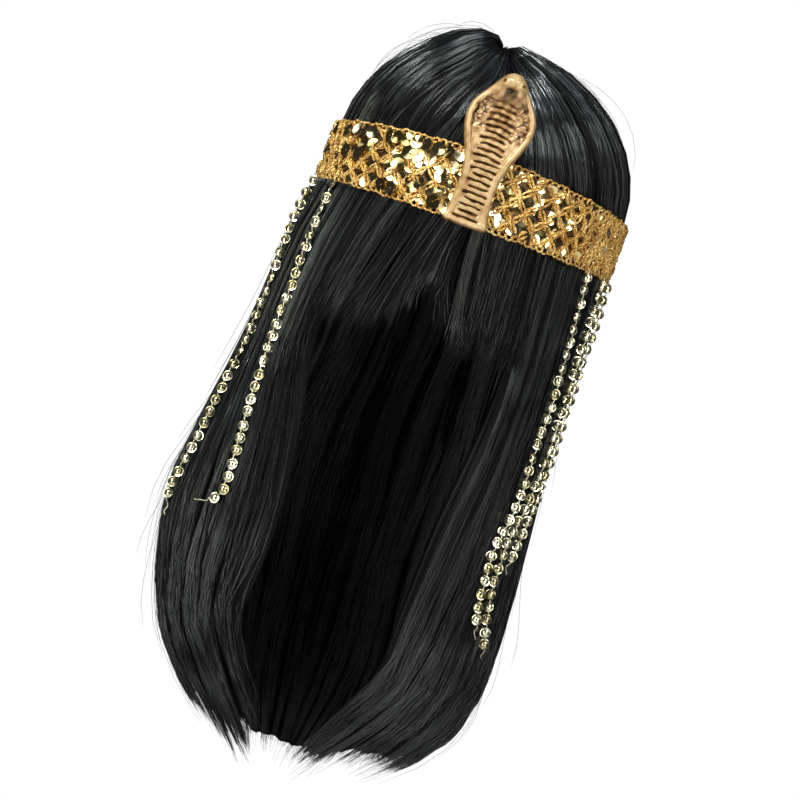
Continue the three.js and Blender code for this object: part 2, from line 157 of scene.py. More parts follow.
def crown_point(angle, sweep, inset):
    """Points of the hair on the crown, from the parting (sweep 0) to the level of the band (90)."""
    slant = np.minimum(np.abs(angle), CROWN_SLANT * (1 - smooth_step(np.abs(angle), 70, BACK_ANGLE)))
    turn = np.radians(angle - np.sign(angle) * slant * (1 - sweep / 90))
    root_turn = np.radians(np.clip(np.abs(angle), FRINGE_ANGLE, BACK_ANGLE))
    half_width = HAIR_HALF_WIDTH - inset
    half_length = HAIR_HALF_LENGTH - inset
    share = np.sin(np.radians(sweep))
    root_y = -PARTING_SHARE * HAIR_HALF_LENGTH * np.cos(root_turn)
    x = PARTING_X + (half_width * np.sin(turn) - PARTING_X) * share
    y = root_y + (-half_length * np.cos(turn) - root_y) * share
    reach = np.sqrt(np.clip(1 - (y / half_length) ** 2, 1e-6, None))
    middle = CROWN_LEAN * half_width * reach
    away = x - middle
    across = away * reach / (half_width * reach - np.sign(away) * middle)
    spread = np.hypot(across, y / half_length) ** CROWN_FULLNESS
    z = WIDEST_Z + (HAIR_HEIGHT - inset) * np.clip(1 - spread, 0, None) ** (1 / CROWN_FULLNESS)
    return np.stack(np.broadcast_arrays(x, y, z), -1)


print(len(HANGING), "levels of hanging hair")

# %% [markdown]
# ## Tools of the lesson
# Many fine things share one mesh: tubes along many lines at once, or many copies of one small
# modelled piece. One mesh of a thousand strands is far quicker to make and to draw than a thousand
# objects. A number per point, such as a strand's shade, travels with them for the finishes.

# %% Meshes from arrays
def unit(vectors):
    """Vectors of length 1 in the same directions."""
    return vectors / np.maximum(np.linalg.norm(vectors, axis=-1, keepdims=True), 1e-12)


def joined_mesh(name, points, faces, numbers=None):
    """A piece from points in millimetres, arrays of faces with equal corner counts, and point numbers."""
    mesh = bpy.data.meshes.new(name)
    corners = np.concatenate([group.ravel() for group in faces])
    sizes = np.concatenate([np.full(len(group), group.shape[1]) for group in faces])
    mesh.vertices.add(len(points))
    mesh.vertices.foreach_set("co", (points * MM).astype(np.float32).ravel())
    mesh.loops.add(len(corners))
    mesh.loops.foreach_set("vertex_index", corners.astype(np.int32))
    mesh.polygons.add(len(sizes))
    mesh.polygons.foreach_set("loop_start", (np.cumsum(sizes) - sizes).astype(np.int32))
    for key, values in (numbers or {}).items():
        mesh.attributes.new(key, "FLOAT", "POINT").data.foreach_set("value", values.astype(np.float32))
    mesh.update(calc_edges=True)
    mesh.shade_smooth()
    piece = bpy.data.objects.new(name, mesh)
    bpy.context.scene.collection.objects.link(piece)
    return piece


def tubes(lines, radius, sides, outward, closed=False):
    """Points and faces of tubes along lines (count, steps, 3) that lie flat to the outward directions."""
    count, steps = lines.shape[:2]
    along = unit(np.roll(lines, -1, 1) - np.roll(lines, 1, 1) if closed else np.gradient(lines, axis=1))
    across = unit(np.cross(along, outward))
    facing = np.cross(across, along)
    turn = 2 * math.pi * np.arange(sides) / sides
    ring = np.cos(turn)[:, None] * across[:, :, None] + np.sin(turn)[:, None] * facing[:, :, None]
    radius = np.broadcast_to(radius, (count, steps))
    points = lines[:, :, None] + radius[:, :, None, None] * ring
    index = np.arange(count * steps * sides).reshape(count, steps, sides)
    start = index if closed else index[:, :-1]
    end = np.roll(index, -1, 1) if closed else index[:, 1:]
    walls = np.stack([start, end, np.roll(end, -1, 2), np.roll(start, -1, 2)], -1).reshape(-1, 4)
    faces = [walls]
    if not closed:
        faces += [index[:, 0], index[:, -1, ::-1]]
    return points.reshape(-1, 3), faces


def joined(parts):
    """Several (points, faces) as one."""
    points = np.concatenate([part[0] for part in parts])
    starts = np.cumsum([0] + [len(part[0]) for part in parts])
    faces = [group + start for part, start in zip(parts, starts) for group in part[1]]
    return points, faces


def copies(model, places, turns):
    """Points and faces of copies of a small modelled mesh, with a place and a turn matrix each."""
    shape = np.array([v.co for v in model.data.vertices]) / MM
    points = np.einsum("nij,vj->nvi", turns, shape) + places[:, None]
    starts = np.arange(len(places)) * len(shape)
    by_size = {}
    for polygon in model.data.polygons:
        by_size.setdefault(len(polygon.vertices), []).append(polygon.vertices[:])
    faces = []
    for size, group in by_size.items():
        faces.append((starts[:, None, None] + np.array(group)[None]).reshape(-1, size))
    return points.reshape(-1, 3), faces


def settle(piece, slot, finish, *nodes):
    """A finished piece rides on the wig, takes its finish, and stands for plain solids."""
    piece.data.materials.clear()
    piece.data.materials.append(finish)
    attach(piece, "root")
    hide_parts(*nodes)
    piece.data.calc_loop_triangles()
    print(piece.name, len(piece.data.loop_triangles), "triangles")
    return piece


def deselect_all():
    """Leaves nothing selected, so that the next step works on its own piece alone."""
    bpy.ops.object.select_all(action="DESELECT")


def smooth_but_edges(piece, degrees):
    """Shades a piece smooth, apart from edges sharper than an angle."""
    deselect_all()
    piece.select_set(True)
    bpy.context.view_layer.objects.active = piece
    bpy.ops.object.shade_smooth_by_angle(angle=math.radians(degrees))


def thicken(piece, wall, offset, hem="", hem_share=0.0):
    """Gives the active sheet a wall to the inside (-1), outside (1) or both (0), thinner at a hem."""
    step = piece.modifiers.new("wall", "SOLIDIFY")
    step.thickness = wall * MM
    step.offset = offset
    step.vertex_group = hem
    step.thickness_vertex_group = hem_share
    bpy.ops.object.modifier_apply(modifier=step.name)


# %% [markdown]
# ## Finishes
# A finish is a small tree of nodes that ends in one surface. Colours are read from hex as they look,
# and turned to the linear values that shaders use. What is the same all over a surface is set on
# the surface itself, and only what varies comes from other nodes. Inputs that share a name are given
# by their place: in a map range, 1 and 2 are the range that it reads, and 3 and 4 what it gives.

# %% Nodes of a finish
def paint(text):
    """A hex colour as linear red, green, blue and alpha."""
    values = [int(text[i : i + 2], 16) / 255 for i in (1, 3, 5)]
    return [v / 12.92 if v <= 0.04045 else ((v + 0.055) / 1.055) ** 2.4 for v in values] + [1.0]


def add_node(tree, kind, settings=None, links=None):
    """Adds a node. Names with a capital, and numbers, are its inputs, and the others its own settings."""
    node = tree.nodes.new(kind)
    for key, value in (settings or {}).items():
        if key == "stops":
            ramp = node.color_ramp
            while len(ramp.elements) < len(value):
                ramp.elements.new(0.5)
            for element, (place, colour) in zip(ramp.elements, value):
                element.position = place
                element.color = paint(colour)
        elif isinstance(key, int) or key[0].isupper():
            node.inputs[key].default_value = value
        else:
            setattr(node, key, value)
    for key, source in (links or {}).items():
        output = source.outputs[0] if isinstance(source, bpy.types.Node) else source
        tree.links.new(output, node.inputs[key])
    return node


def new_finish(name):
    """An empty finish and its tree of nodes."""
    finish = bpy.data.materials.new(name)
    finish.use_nodes = True
    finish.node_tree.nodes.clear()
    return finish, finish.node_tree


def shade_with(tree, settings, links):
    """The surface of a finish, joined to its output."""
    surface = add_node(tree, "ShaderNodeBsdfPrincipled", settings, links)
    add_node(tree, "ShaderNodeOutputMaterial", links={"Surface": surface.outputs["BSDF"]})


# %% [markdown]
# ### Hair
# Synthetic hair is nearly black, and what the eye sees of it is a cool sheen in fine lines. A single
# strand can take one shade along its whole length, so its shade is a number on its points. The body
# of hair under the strands has no strands of its own, so noise that is drawn out along the hair
# gives it fine lines. Some strands are duller than others, which keeps the locks apart.

# %% Hair finishes
# Repeats across and along a panel of 140 by 500 mm. Real fibres are 0.08 mm wide and too fine to show
# in the render, so these lines are drawn 0.27 by 100 mm, and the streaks 1.1 by 200 mm.
FIBRE_LINES = (520, 5, 1)
FIBRE_STREAKS = (130, 2.5, 1)


def strand_finish(name, specular, rough_low, rough_high, tip_and_painted_light_colour="#241a14"):
    """Black synthetic fibre: nearly black with a cool grey sheen, tinted along the tip number by its tip
    colour.
    """
    finish, tree = new_finish(name)
    shade = add_node(tree, "ShaderNodeAttribute", {"attribute_name": "shade"}).outputs["Fac"]
    tip = add_node(tree, "ShaderNodeAttribute", {"attribute_name": "tip"}).outputs["Fac"]
    blacks = [(0.0, "#020203"), (0.6, "#070708"), (1.0, "#141518")]
    body = add_node(tree, "ShaderNodeValToRGB", {"stops": blacks}, {"Fac": shade})
    # The tip colour is a browner tint at cut tips, and for the inner strands a painted light grey
    tip_and_light_tint = {"data_type": "RGBA", 7: paint(tip_and_painted_light_colour)}
    colour = add_node(tree, "ShaderNodeMix", tip_and_light_tint, {0: tip, 6: body})
    rough = add_node(tree, "ShaderNodeMapRange", {3: rough_high, 4: rough_low}, {0: shade})
    shade_with(
        tree,
        {"Specular IOR Level": specular, "Specular Tint": (0.94, 1.0, 0.98, 1.0)},
        {"Base Color": colour.outputs[2], "Roughness": rough},
    )
    return finish


def hair_body_finish():
    """Fibres side by side: black, with a sheen that runs across the locks in fine bright lines."""
    finish, tree = new_finish("black_synthetic_hair")
    place = add_node(tree, "ShaderNodeUVMap")
    noises = []
    for repeats in (FIBRE_LINES, FIBRE_STREAKS):
        drawn_out = add_node(tree, "ShaderNodeMapping", {"Scale": repeats}, {"Vector": place})
        noise = add_node(tree, "ShaderNodeTexNoise", {"Scale": 1.0, "Detail": 2.0}, {"Vector": drawn_out})
        noises.append(noise.outputs["Fac"])
    lines, streaks = noises
    both = add_node(tree, "ShaderNodeMath", {"operation": "ADD"}, {0: lines, 1: streaks})
    blacks = [(0.3, "#010102"), (0.7, "#060607")]
    colour = add_node(tree, "ShaderNodeValToRGB", {"stops": blacks}, {"Fac": streaks})
    gloss = add_node(tree, "ShaderNodeMapRange", {1: 0.7, 2: 1.3, 3: 0.3, 4: 0.55}, {0: both})
    relief = add_node(tree, "ShaderNodeBump", {"Strength": 0.8, "Distance": 0.6 * MM}, {"Height": both})
    surface = {"Base Color": colour, "Roughness": gloss, "Normal": relief}
    shade_with(tree, {"Specular IOR Level": 0.1}, surface)
    return finish


# Shiny strands draw the bright lines, dull ones the dark between them, and inner ones are dull but
# painted light grey, as painted light inside the hair
SHINY_HAIR = strand_finish("shiny_black_fibre", 1.0, 0.12, 0.28)
# Painted light: the inner strands' tip colour is a light grey that stands in for light inside the hair
INNER_HAIR_PAINTED_LIGHT = strand_finish("inner_fibre_painted_light", 0.2, 0.45, 0.6, "#696867")
DULL_HAIR = strand_finish("dull_black_fibre", 0.14, 0.33, 0.52)
HAIR_BODY = hair_body_finish()
print(len(bpy.data.materials), "finishes of hair")

# %% [markdown]
# ### Net, sequins, thread and paint
# The cap and the band's backing are knitted nets, dark and dull. Sequins are thin metal film, so they
# are mirrors with a tint. Metallic thread glitters in grains: small cells of a pattern raise each grain
# and paint a glint on it and shade between them.
# Each pattern's scale is worked out from the real size of what repeats.

# %% Cap, band and string finishes
NET_ROW = 7.854  # between sewn rows of the cap
NET_MESH = 2.38  # across an opening of its net
THREAD_GRAIN = 0.909  # across a glint of metallic thread, coarser than a real one so that it shows
THREAD_TINT = 11.1  # between lighter and darker lengths of thread
BACKING_WEAVE = 1.11  # between threads of the backing
PAINT_WEAR = 6.25  # across a worn patch of paint
WAVE_LENGTH = math.pi / 10  # of a wave pattern at scale 1


def per(size):
    """The scale of a pattern whose features are this many millimetres apart."""
    return 1 / (size * MM)


def net_finish():
    """Black knitted net: open diamonds of thread, with sewn rows across."""
    finish, tree = new_finish("black_knitted_net")
    spot = add_node(tree, "ShaderNodeTexCoord").outputs["Object"]
    sewn = {"bands_direction": "Z", "Scale": WAVE_LENGTH * per(NET_ROW), "Distortion": 0.6, "Detail": 1.0}
    rows = add_node(tree, "ShaderNodeTexWave", sewn, {"Vector": spot})
    knitted = {"feature": "DISTANCE_TO_EDGE", "Scale": per(NET_MESH)}
    mesh = add_node(tree, "ShaderNodeTexVoronoi", knitted, {"Vector": spot})
    blacks = [(0.0, "#1a1a1c"), (0.15, "#050506")]
    colour = add_node(tree, "ShaderNodeValToRGB", {"stops": blacks}, {"Fac": mesh.outputs["Distance"]})
    raised = {"Strength": 0.8, "Distance": 1.0 * MM}
    relief = add_node(tree, "ShaderNodeBump", raised, {"Height": rows.outputs["Fac"]})
    shade_with(tree, {"Roughness": 0.85}, {"Base Color": colour, "Normal": relief})
    return finish


def sequin_finish(name, light, dark, metal, rough):
    """Thin coloured metal film: mirror bright, with a slightly different tint on each sequin."""
    finish, tree = new_finish(name)
    shade = add_node(tree, "ShaderNodeAttribute", {"attribute_name": "shade"}).outputs["Fac"]
    colour = add_node(tree, "ShaderNodeValToRGB", {"stops": [(0.0, dark), (1.0, light)]}, {"Fac": shade})
    shade_with(tree, {"Metallic": metal, "Roughness": rough}, {"Base Color": colour})
    return finish


def braid_finish(name, light, middle, dark):
    """Metallic thread in small loops: a painted glint on each raised grain, and painted shade between them.
    """
    finish, tree = new_finish(name)
    spot = add_node(tree, "ShaderNodeTexCoord").outputs["Object"]
    cells = add_node(tree, "ShaderNodeTexVoronoi", {"Scale": per(THREAD_GRAIN)}, {"Vector": spot})
    painted_glints_and_bumps = cells.outputs["Distance"]
    tint = add_node(tree, "ShaderNodeTexNoise", {"Scale": per(THREAD_TINT), "Detail": 3.0}, {"Vector": spot})
    # The grains paint a glint at their middles and shade at their edges; the tint gives lighter and darker
    # lengths
    weighed = {"operation": "MULTIPLY_ADD", 1: 0.8}
    spread = add_node(tree, "ShaderNodeMath", weighed, {0: tint.outputs["Fac"], 2: painted_glints_and_bumps})
    golds = [(0.4, light), (0.75, middle), (1.0, dark)]
    colour = add_node(tree, "ShaderNodeValToRGB", {"stops": golds}, {"Fac": spread})
    raised = {"Strength": 0.9, "Distance": 0.7 * MM, "invert": True}
    relief = add_node(tree, "ShaderNodeBump", raised, {"Height": painted_glints_and_bumps})
    shade_with(tree, {"Metallic": 0.5, "Roughness": 0.34}, {"Base Color": colour, "Normal": relief})
    return finish


def backing_finish():
    """Gold elastic net under the sequins: dull and dark between them."""
    finish, tree = new_finish("gold_elastic_net")
    spot = add_node(tree, "ShaderNodeTexCoord").outputs["Object"]
    woven = {"Scale": per(BACKING_WEAVE), "Detail": 2.0}
    weave = add_node(tree, "ShaderNodeTexNoise", woven, {"Vector": spot})
    golds = [(0.3, "#1c1206"), (0.7, "#6b4a1a")]
    colour = add_node(tree, "ShaderNodeValToRGB", {"stops": golds}, {"Fac": weave.outputs["Fac"]})
    shade_with(tree, {"Roughness": 0.6, "Metallic": 0.4}, {"Base Color": colour})
    return finish


def cobra_finish():
    """Gold painted plastic: satin tan gold, rubbed lighter on the high parts, brown in the recesses, and
    darker where shade is painted in.
    """
    finish, tree = new_finish("antique_gold_plastic")
    spot = add_node(tree, "ShaderNodeTexCoord").outputs["Object"]
    # Stains, brown hollows and painted shade from the moulding, to which wear is added below
    recess = add_node(tree, "ShaderNodeAttribute", {"attribute_name": "recess"}).outputs["Fac"]
    noise = add_node(tree, "ShaderNodeTexNoise", {"Scale": per(PAINT_WEAR), "Detail": 4.0}, {"Vector": spot})
    wear = noise.outputs["Fac"]
    spread = add_node(tree, "ShaderNodeMapRange", {1: 0.3, 2: 0.7, 3: -0.2, 4: 0.2}, {0: wear})
    depth = add_node(tree, "ShaderNodeMath", {"operation": "ADD"}, {0: recess, 1: spread})
    golds = [(0.0, "#a48b61"), (0.25, "#88683d"), (0.55, "#5a3d1b"), (1.0, "#22150a")]
    colour = add_node(tree, "ShaderNodeValToRGB", {"stops": golds}, {"Fac": depth})
    relief = add_node(tree, "ShaderNodeBump", {"Strength": 0.15, "Distance": 0.4 * MM}, {"Height": wear})
    shade_with(tree, {"Metallic": 0.25, "Roughness": 0.36}, {"Base Color": colour, "Normal": relief})
    return finish


NET = net_finish()
BACKING = backing_finish()
BAND_SEQUIN = sequin_finish("gold_sequin_film", "#f6e7b4", "#d8bd74", 1.0, 0.1)
STRING_SEQUIN = sequin_finish("pale_gold_sequin_film", "#dcd5b8", "#a0976f", 0.94, 0.13)
# The lightest colours of the braid and the thread are painted glints, and the darkest painted shade
BRAID = braid_finish("gold_metallic_braid", "#f9e7ae", "#dcb55f", "#8c6024")
STRING_THREAD = braid_finish("pale_gold_thread", "#fffaf0", "#e6e0c4", "#a8a080")
COBRA_PAINT = cobra_finish()
print(len(bpy.data.materials), "finishes")

# %% [markdown]
# ## The cap
# The hair is sewn to a close cap of net, which shows only inside the wig. It is half a ball, pulled
# down to a rim that is high at the brow and low at the nape. A solidify step gives the net its
# thickness, which is easier than modelling two skins.

# %% Cap
CAP_HALF_WIDTH = 77.5
CAP_HALF_LENGTH = 94.5
CAP_HEIGHT = 71.5
CAP_RIM_FRONT = 18.0
CAP_RIM_BACK = 60.0
CAP_WALL = 1.5

deselect_all()
bpy.ops.mesh.primitive_uv_sphere_add(segments=64, ring_count=32, radius=1)
cap = bpy.context.object
cap.name = "cap_net"
bpy.ops.object.mode_set(mode="EDIT")
bpy.ops.mesh.select_all(action="SELECT")
bpy.ops.mesh.bisect(plane_co=(0, 0, -0.001), plane_no=(0, 0, 1), clear_inner=True)
bpy.ops.mesh.select_all(action="DESELECT")
bpy.ops.mesh.select_non_manifold()
bpy.ops.mesh.extrude_region_move(TRANSFORM_OT_translate={"value": (0, 0, -1)})
bpy.ops.object.mode_set(mode="OBJECT")
for vertex in cap.data.vertices:
    x, y, z = vertex.co
    drop = CAP_RIM_FRONT + (CAP_RIM_BACK - CAP_RIM_FRONT) * (y + 1) / 2
    lift = -drop if z < -0.5 else CAP_HEIGHT * max(z, 0)
    vertex.co = (CAP_HALF_WIDTH * x * MM, CAP_HALF_LENGTH * y * MM, (WIDEST_Z + lift) * MM)
thicken(cap, CAP_WALL, -1)
bpy.ops.object.shade_smooth()
settle(cap, "cap_net", NET, "cap")

# %% [markdown]
# ## Bodies of hair
# Most of what the eye sees as hair is a smooth body of fibres that lie side by side. Each panel
# starts as a flat grid, which is moved onto the hair's surface from the parting to near the hem.
# Ridges of many widths run along it like locks, and it is thickened inwards.

# %% Panels of hair
BODY_INSET = 4.0  # how far the bodies lie under the outside of the hair
BODY_WALL = 5.0
BODY_ROWS = 40
CROWN_PART = 0.36  # of the rows, which lie on the crown
ROOT_SWEEP = 2.0  # degrees from the parting, where the bodies begin
RIDGE_DEPTH = 2.0
RIDGE_WIDTHS = (26.0, 14.0, 9.0, 6.0, 4.0, 2.6)
EDGE_ROLL = 5.0  # how far the edge beside the open front turns in
RAGGED = 16.0  # how far a lower end would stray at a raggedness of 1
THINS_FROM = 0.72  # of the way down, where the wall starts to thin
HEM_SHARE = 0.08  # of the wall, which is left at the hem

# From which angle to which, columns of the grid, width, how much shorter the body is than its
# strands, and how ragged its end is. The side panels begin at the edge of the open front.
PANEL_COLUMNS = ("first", "last", "columns", "wide", "short", "ragged")
PANEL_ROWS = {
    "hair_left": ("left", -BACK_ANGLE, 110, 140.0, 10, 0.45),
    "hair_right": ("right", BACK_ANGLE, 110, 140.0, 9, 0.45),
    "hair_back": (BACK_ANGLE, 360 - BACK_ANGLE, 120, 230.0, 2, 0.06),
    "fringe": (-FRINGE_ANGLE, FRINGE_ANGLE, 70, 110.0, 0, 0.3),
}
PANELS = {name: dict(zip(PANEL_COLUMNS, row)) for name, row in PANEL_ROWS.items()}

# Where the tips end, at shares of a panel's width
HEM = {
    "hair_left": {
        "share": [0, 0.06, 0.14, 0.215, 0.33, 0.43, 0.5, 0.6, 1],
        "z": [-402, -413, -427, -435, -441, -434, -426, -420, -424],
    },
    "hair_right": {
        "share": [0, 0.06, 0.15, 0.25, 0.37, 0.48, 0.56, 0.7, 1],
        "z": [-410, -436, -431, -425, -418, -416, -421, -420, -422],
    },
    "hair_back": {"share": [0, 0.2, 0.3, 0.7, 0.8, 1], "z": [-422, -427, -437, -437, -427, -422]},
    "fringe": {
        "share": [0, 0.1, 0.2, 0.29, 0.38, 0.46, 0.53, 0.59, 0.65, 0.7, 0.76, 0.84, 0.94, 1],
        "z": [-168, -168, -168, -165, -153, -140, -143, -152, -162, -166, -160, -158, -160, -162],
    },
}


def panel_angle(panel, share, z):
    """The angle at a share of a panel's width. A side panel's front edge follows the open front."""
    first = PANELS[panel]["first"]
    last = PANELS[panel]["last"]
    if first in ("left", "right"):
        first = np.sign(last) * along_rows(first, z)
    # Two slow waves, 245 and 130 mm long, let the lower hair flow a degree or two from side to side
    flow = 1.4 * np.sin(z / 39 + 4.1 * share + 0.02 * last) + 0.7 * np.sin(z / 21 + 11 * share)
    return first + (last - first) * share + flow * smooth_step(-z, 130, 260) * smooth_step(share, 0, 0.2)


def hem_at(panel, share):
    """The height of the hem at a share of a panel's width."""
    return np.interp(share, HEM[panel]["share"], HEM[panel]["z"])


def ridges(draw, panel, share, down):
    """Depth below the outside, from 0 on the ridges to 1 in the grooves between locks."""
    total = 0.0
    weight = 0.0
    # Wide ridges are deeper than narrow ones, and each of them bends slowly on its way down
    for wide in RIDGE_WIDTHS:
        cycles = PANELS[panel]["wide"] / wide
        phase = draw.uniform(0, 6.3, 4)
        bend = 0.5 * np.sin(2.1 * down * math.pi + phase[0]) + 0.3 * np.sin(4.7 * down * math.pi + phase[1])
        place = share + 0.006 * np.sin(9 * share + phase[3])
        wave = np.sin(2 * math.pi * cycles * place + phase[2] + 2.2 * bend)
        total = total + wide**0.55 * wave
        weight = weight + wide**0.55
    return np.clip(0.5 + 1.05 * total / weight, 0, 1)


def crown_lift(angle, sweep):
    """How much the hair stands up beside the parting, more on the left than on the right."""
    # A swell beside the parting and one hollow on the left, and a flatter start on the right
    lower = np.sin(np.radians(2 * sweep)) ** 2
    hollow = np.exp(-(((sweep - 34) / 9) ** 2) - ((angle + 27) / 15) ** 2)
    left = 2.6 * np.exp(-(((sweep - 18) / 12) ** 2)) - 1.8 * lower - 3.0 * hollow
    right = 0.2 * lower - 1.0 * np.exp(-(((sweep - 14) / 9) ** 2))
    beside = np.where(np.abs(angle) < BACK_ANGLE, right, 0.0)
    return np.where((angle < 0) & (angle > -BACK_ANGLE), left, beside)


def root_sink(sweep):
    """How deep the hair dips into the parting."""
    return 5.0 * np.exp(-((sweep - 1.5) / 2.4))


def hair_body(panel, seed):
    """A thick sheet of hair for one panel, with a ragged lower end."""
    draw = np.random.default_rng(seed)
    columns = PANELS[panel]["columns"]
    deselect_all()
    bpy.ops.mesh.primitive_grid_add(x_subdivisions=columns, y_subdivisions=BODY_ROWS, size=2, calc_uvs=True)
    sheet = bpy.context.object
    sheet.name = panel + "_body"
    flat = np.array([v.co for v in sheet.data.vertices])
    share = (flat[:, 0] + 1) / 2
    down = (1 - flat[:, 1]) / 2
    column = np.round(share * columns).astype(int)
    ragged = np.convolve(draw.normal(0, RAGGED, columns + 3), np.ones(3) / 3, mode="valid")[column]
    end = hem_at(panel, share) + PANELS[panel]["short"] + ragged * PANELS[panel]["ragged"]
    sweep = ROOT_SWEEP + (90 - ROOT_SWEEP) * np.clip(down / CROWN_PART, 0, 1)
    z = WIDEST_Z + (end - WIDEST_Z) * np.clip((down - CROWN_PART) / (1 - CROWN_PART), 0, 1)
    angle = panel_angle(panel, share, z)
    inset = BODY_INSET + RIDGE_DEPTH * ridges(draw, panel, share, down)
    if PANELS[panel]["first"] in ("left", "right"):
        inset = inset + EDGE_ROLL * (1 - smooth_step(share, 0, 0.05))
    on_crown = crown_point(angle, sweep, inset + root_sink(sweep) - crown_lift(angle, sweep))
    place = np.where((down < CROWN_PART)[:, None], on_crown, hanging_point(angle, z, inset))
    sheet.data.vertices.foreach_set("co", (place * MM).ravel())
    sheet.data.update()
    face = sheet.data.polygons[len(sheet.data.polygons) // 2 + columns // 2]
    inwards = -1 if face.normal.xy @ face.center.xy > 0 else 1
    hem = sheet.vertex_groups.new(name="hem")
    for vertex, full in zip(sheet.data.vertices, 1 - smooth_step(down, THINS_FROM, 1.0)):
        hem.add([vertex.index], full, "REPLACE")
    thicken(sheet, BODY_WALL, inwards, hem.name, HEM_SHARE)
    bpy.ops.object.shade_smooth()
    return settle(sheet, "black_hair", HAIR_BODY, panel)


for number, panel in enumerate(PANELS):
    hair_body(panel, 20 + number)

# %% [markdown]
# ## Loose strands
# Real fibres are 0.08 mm thick and far too many to draw, so each strand here stands for a few of
# them. Strands share locks: the members of a lock start side by side, and draw together towards the
# tip, where they end in a wisp. A hair system would do this too, but lines that are worked out lie
# exactly on the hair's surface and can end in the hem that was measured.

# %% Strands
STRAND_RADIUS = 0.17
STRAND_SIDES = 3
TAPER_FROM = 0.85  # of a strand's length, where it starts to taper
TIP_SHARE = 0.35  # of its thickness, which is left at the tip
DOWN_STEPS = np.array([0, 0.05, 0.13, 0.23, 0.33, 0.43, 0.53, 0.63, 0.73, 0.83, 0.92, 1.0])
SWEEP_STEPS = np.array([1.5, 6, 14, 25, 37, 49, 60, 70, 79, 90.0])
UNDER_BAND_Z = BAND_MIDDLE_Z - 9.0
CLUMPS = 5  # of strands in a lock that share a shade
SHADE_SPREAD = {"lock": 0.22, "clump": 0.28, "strand": 0.2}
DULL_SHADE = 0.46  # strands with a lower shade are dull
LOWEST_TIP = -450.0
LOCK_HALF = (0.55, 1.15)  # half widths of hanging locks, in steps from lock to lock
LOCK_SWAY = 0.014  # how far a lock waves sideways, as a share of its panel
LOCK_RIPPLE = 0.7  # how far it waves in and out
LOCK_WAVES = (0.8, 1.8)  # how many waves it has


def sort_into_locks(draw, count, locks):
    """Each strand's lock, its place across the lock from -1 to 1, and a shade it shares with its clump."""
    lock = draw.integers(0, locks, count)
    within = draw.uniform(-1, 1, count)
    clump = ((within + 1) / 2 * CLUMPS).astype(int).clip(0, CLUMPS - 1)
    of_lock = draw.normal(0, SHADE_SPREAD["lock"], locks)[lock]
    of_clump = draw.normal(0, SHADE_SPREAD["clump"], (locks, CLUMPS))[lock, clump]
    shade = 0.5 + of_lock + of_clump + draw.normal(0, SHADE_SPREAD["strand"], count)
    return lock, within, np.clip(shade, 0, 1)


def lock_centres(draw, locks):
    """Shares of a panel's width where its locks are, a little unevenly."""
    return np.clip((np.arange(locks) + 0.5 + draw.normal(0, 0.35, locks)) / locks, 0, 1)


def hanging_lines(draw, panel, count, locks, depth, leaning=0.024):
    """Strands of a panel from under the band to the hem, in locks that lean, sway and overlap."""
    lock, within, shade = sort_into_locks(draw, count, locks)
    centre = lock_centres(draw, locks)[lock][:, None]
    half = (draw.uniform(*LOCK_HALF, locks) / locks)[lock][:, None]
    lean = draw.normal(0, leaning, locks)[lock][:, None]
    sway = draw.normal(0, LOCK_SWAY, locks)[lock][:, None]
    ripple = draw.normal(0, LOCK_RIPPLE, locks)[lock][:, None]
    waves = draw.uniform(*LOCK_WAVES, locks)[lock][:, None]
    phase = draw.uniform(0, 6.3, (2, locks))[:, lock, None]
    level = depth * draw.random(locks)[lock][:, None]
    within = within[:, None]
    t = DOWN_STEPS[None]
    free = smooth_step(t, 0.05, 0.45)
    # Tips of one lock end near each other, but some strands reach further down or stop short
    longer = draw.normal(0, 2.5, locks)[lock] + draw.exponential(5, count) - draw.exponential(2.5, count)
    tip = hem_at(panel, centre) + 5 * within**2 + longer[:, None]
    z = np.maximum(UNDER_BAND_Z + (tip - UNDER_BAND_Z) * t, LOWEST_TIP)
    # A lock leans and sways on its way down, and each strand weaves a little within it
    swing = lean * t**1.5 + sway * np.sin(2 * math.pi * waves * t + phase[0])
    own = draw.uniform(0.5, 1.3, (2, count))[:, :, None]
    weave = draw.normal(0, 0.005, count)[:, None] * np.sin(2 * math.pi * (own[0] * t + 5 * own[1])) * free
    stray = draw.normal(0, 0.007, count)[:, None] * t**2 + weave
    across = np.clip(centre + half * within * (1 - 0.75 * t**4) + swing * free + stray, -0.012, 1.012)
    # Strands lie deeper at a lock's edges, and the lock ripples in and out
    rolling = ripple * np.sin(2.6 * math.pi * waves * t + phase[1]) * free
    inset = level + 1.3 * within**2 + 0.6 * draw.random(count)[:, None] + rolling
    return hanging_point(panel_angle(panel, across, z), z, np.maximum(inset, 0.2) - 0.4), shade


def crown_lines(draw, panel, count, locks):
    """Strands of a panel from the parting to under the band."""
    lock, within, shade = sort_into_locks(draw, count, locks)
    centre = lock_centres(draw, locks)[lock][:, None]
    half = (draw.uniform(0.6, 1.4, locks) / locks)[lock][:, None]
    level = 2.6 * draw.random(locks)[lock][:, None]
    within = within[:, None]
    sweep = SWEEP_STEPS[None]
    t = sweep / 90
    # Locks bend and draw together half-way down, and single strands cross them
    bend = draw.normal(0, 0.03, locks)[lock][:, None] * np.sin(math.pi * t)
    cross = draw.normal(0, 0.03, count)[:, None] * (t - 0.5)
    across = centre + half * within * (1 - 0.3 * np.sin(math.pi * t)) + bend + cross
    angle = panel_angle(panel, np.clip(across, 0, 1), WIDEST_Z)
    inset = level + 1.2 * within**2 + 0.5 * draw.random(count)[:, None] - 0.4
    place = crown_point(angle, sweep, inset + root_sink(sweep) - crown_lift(angle, sweep))
    end = place[:, -1:] + [0, 0, UNDER_BAND_Z - WIDEST_Z]
    return np.concatenate([place, end], 1), shade


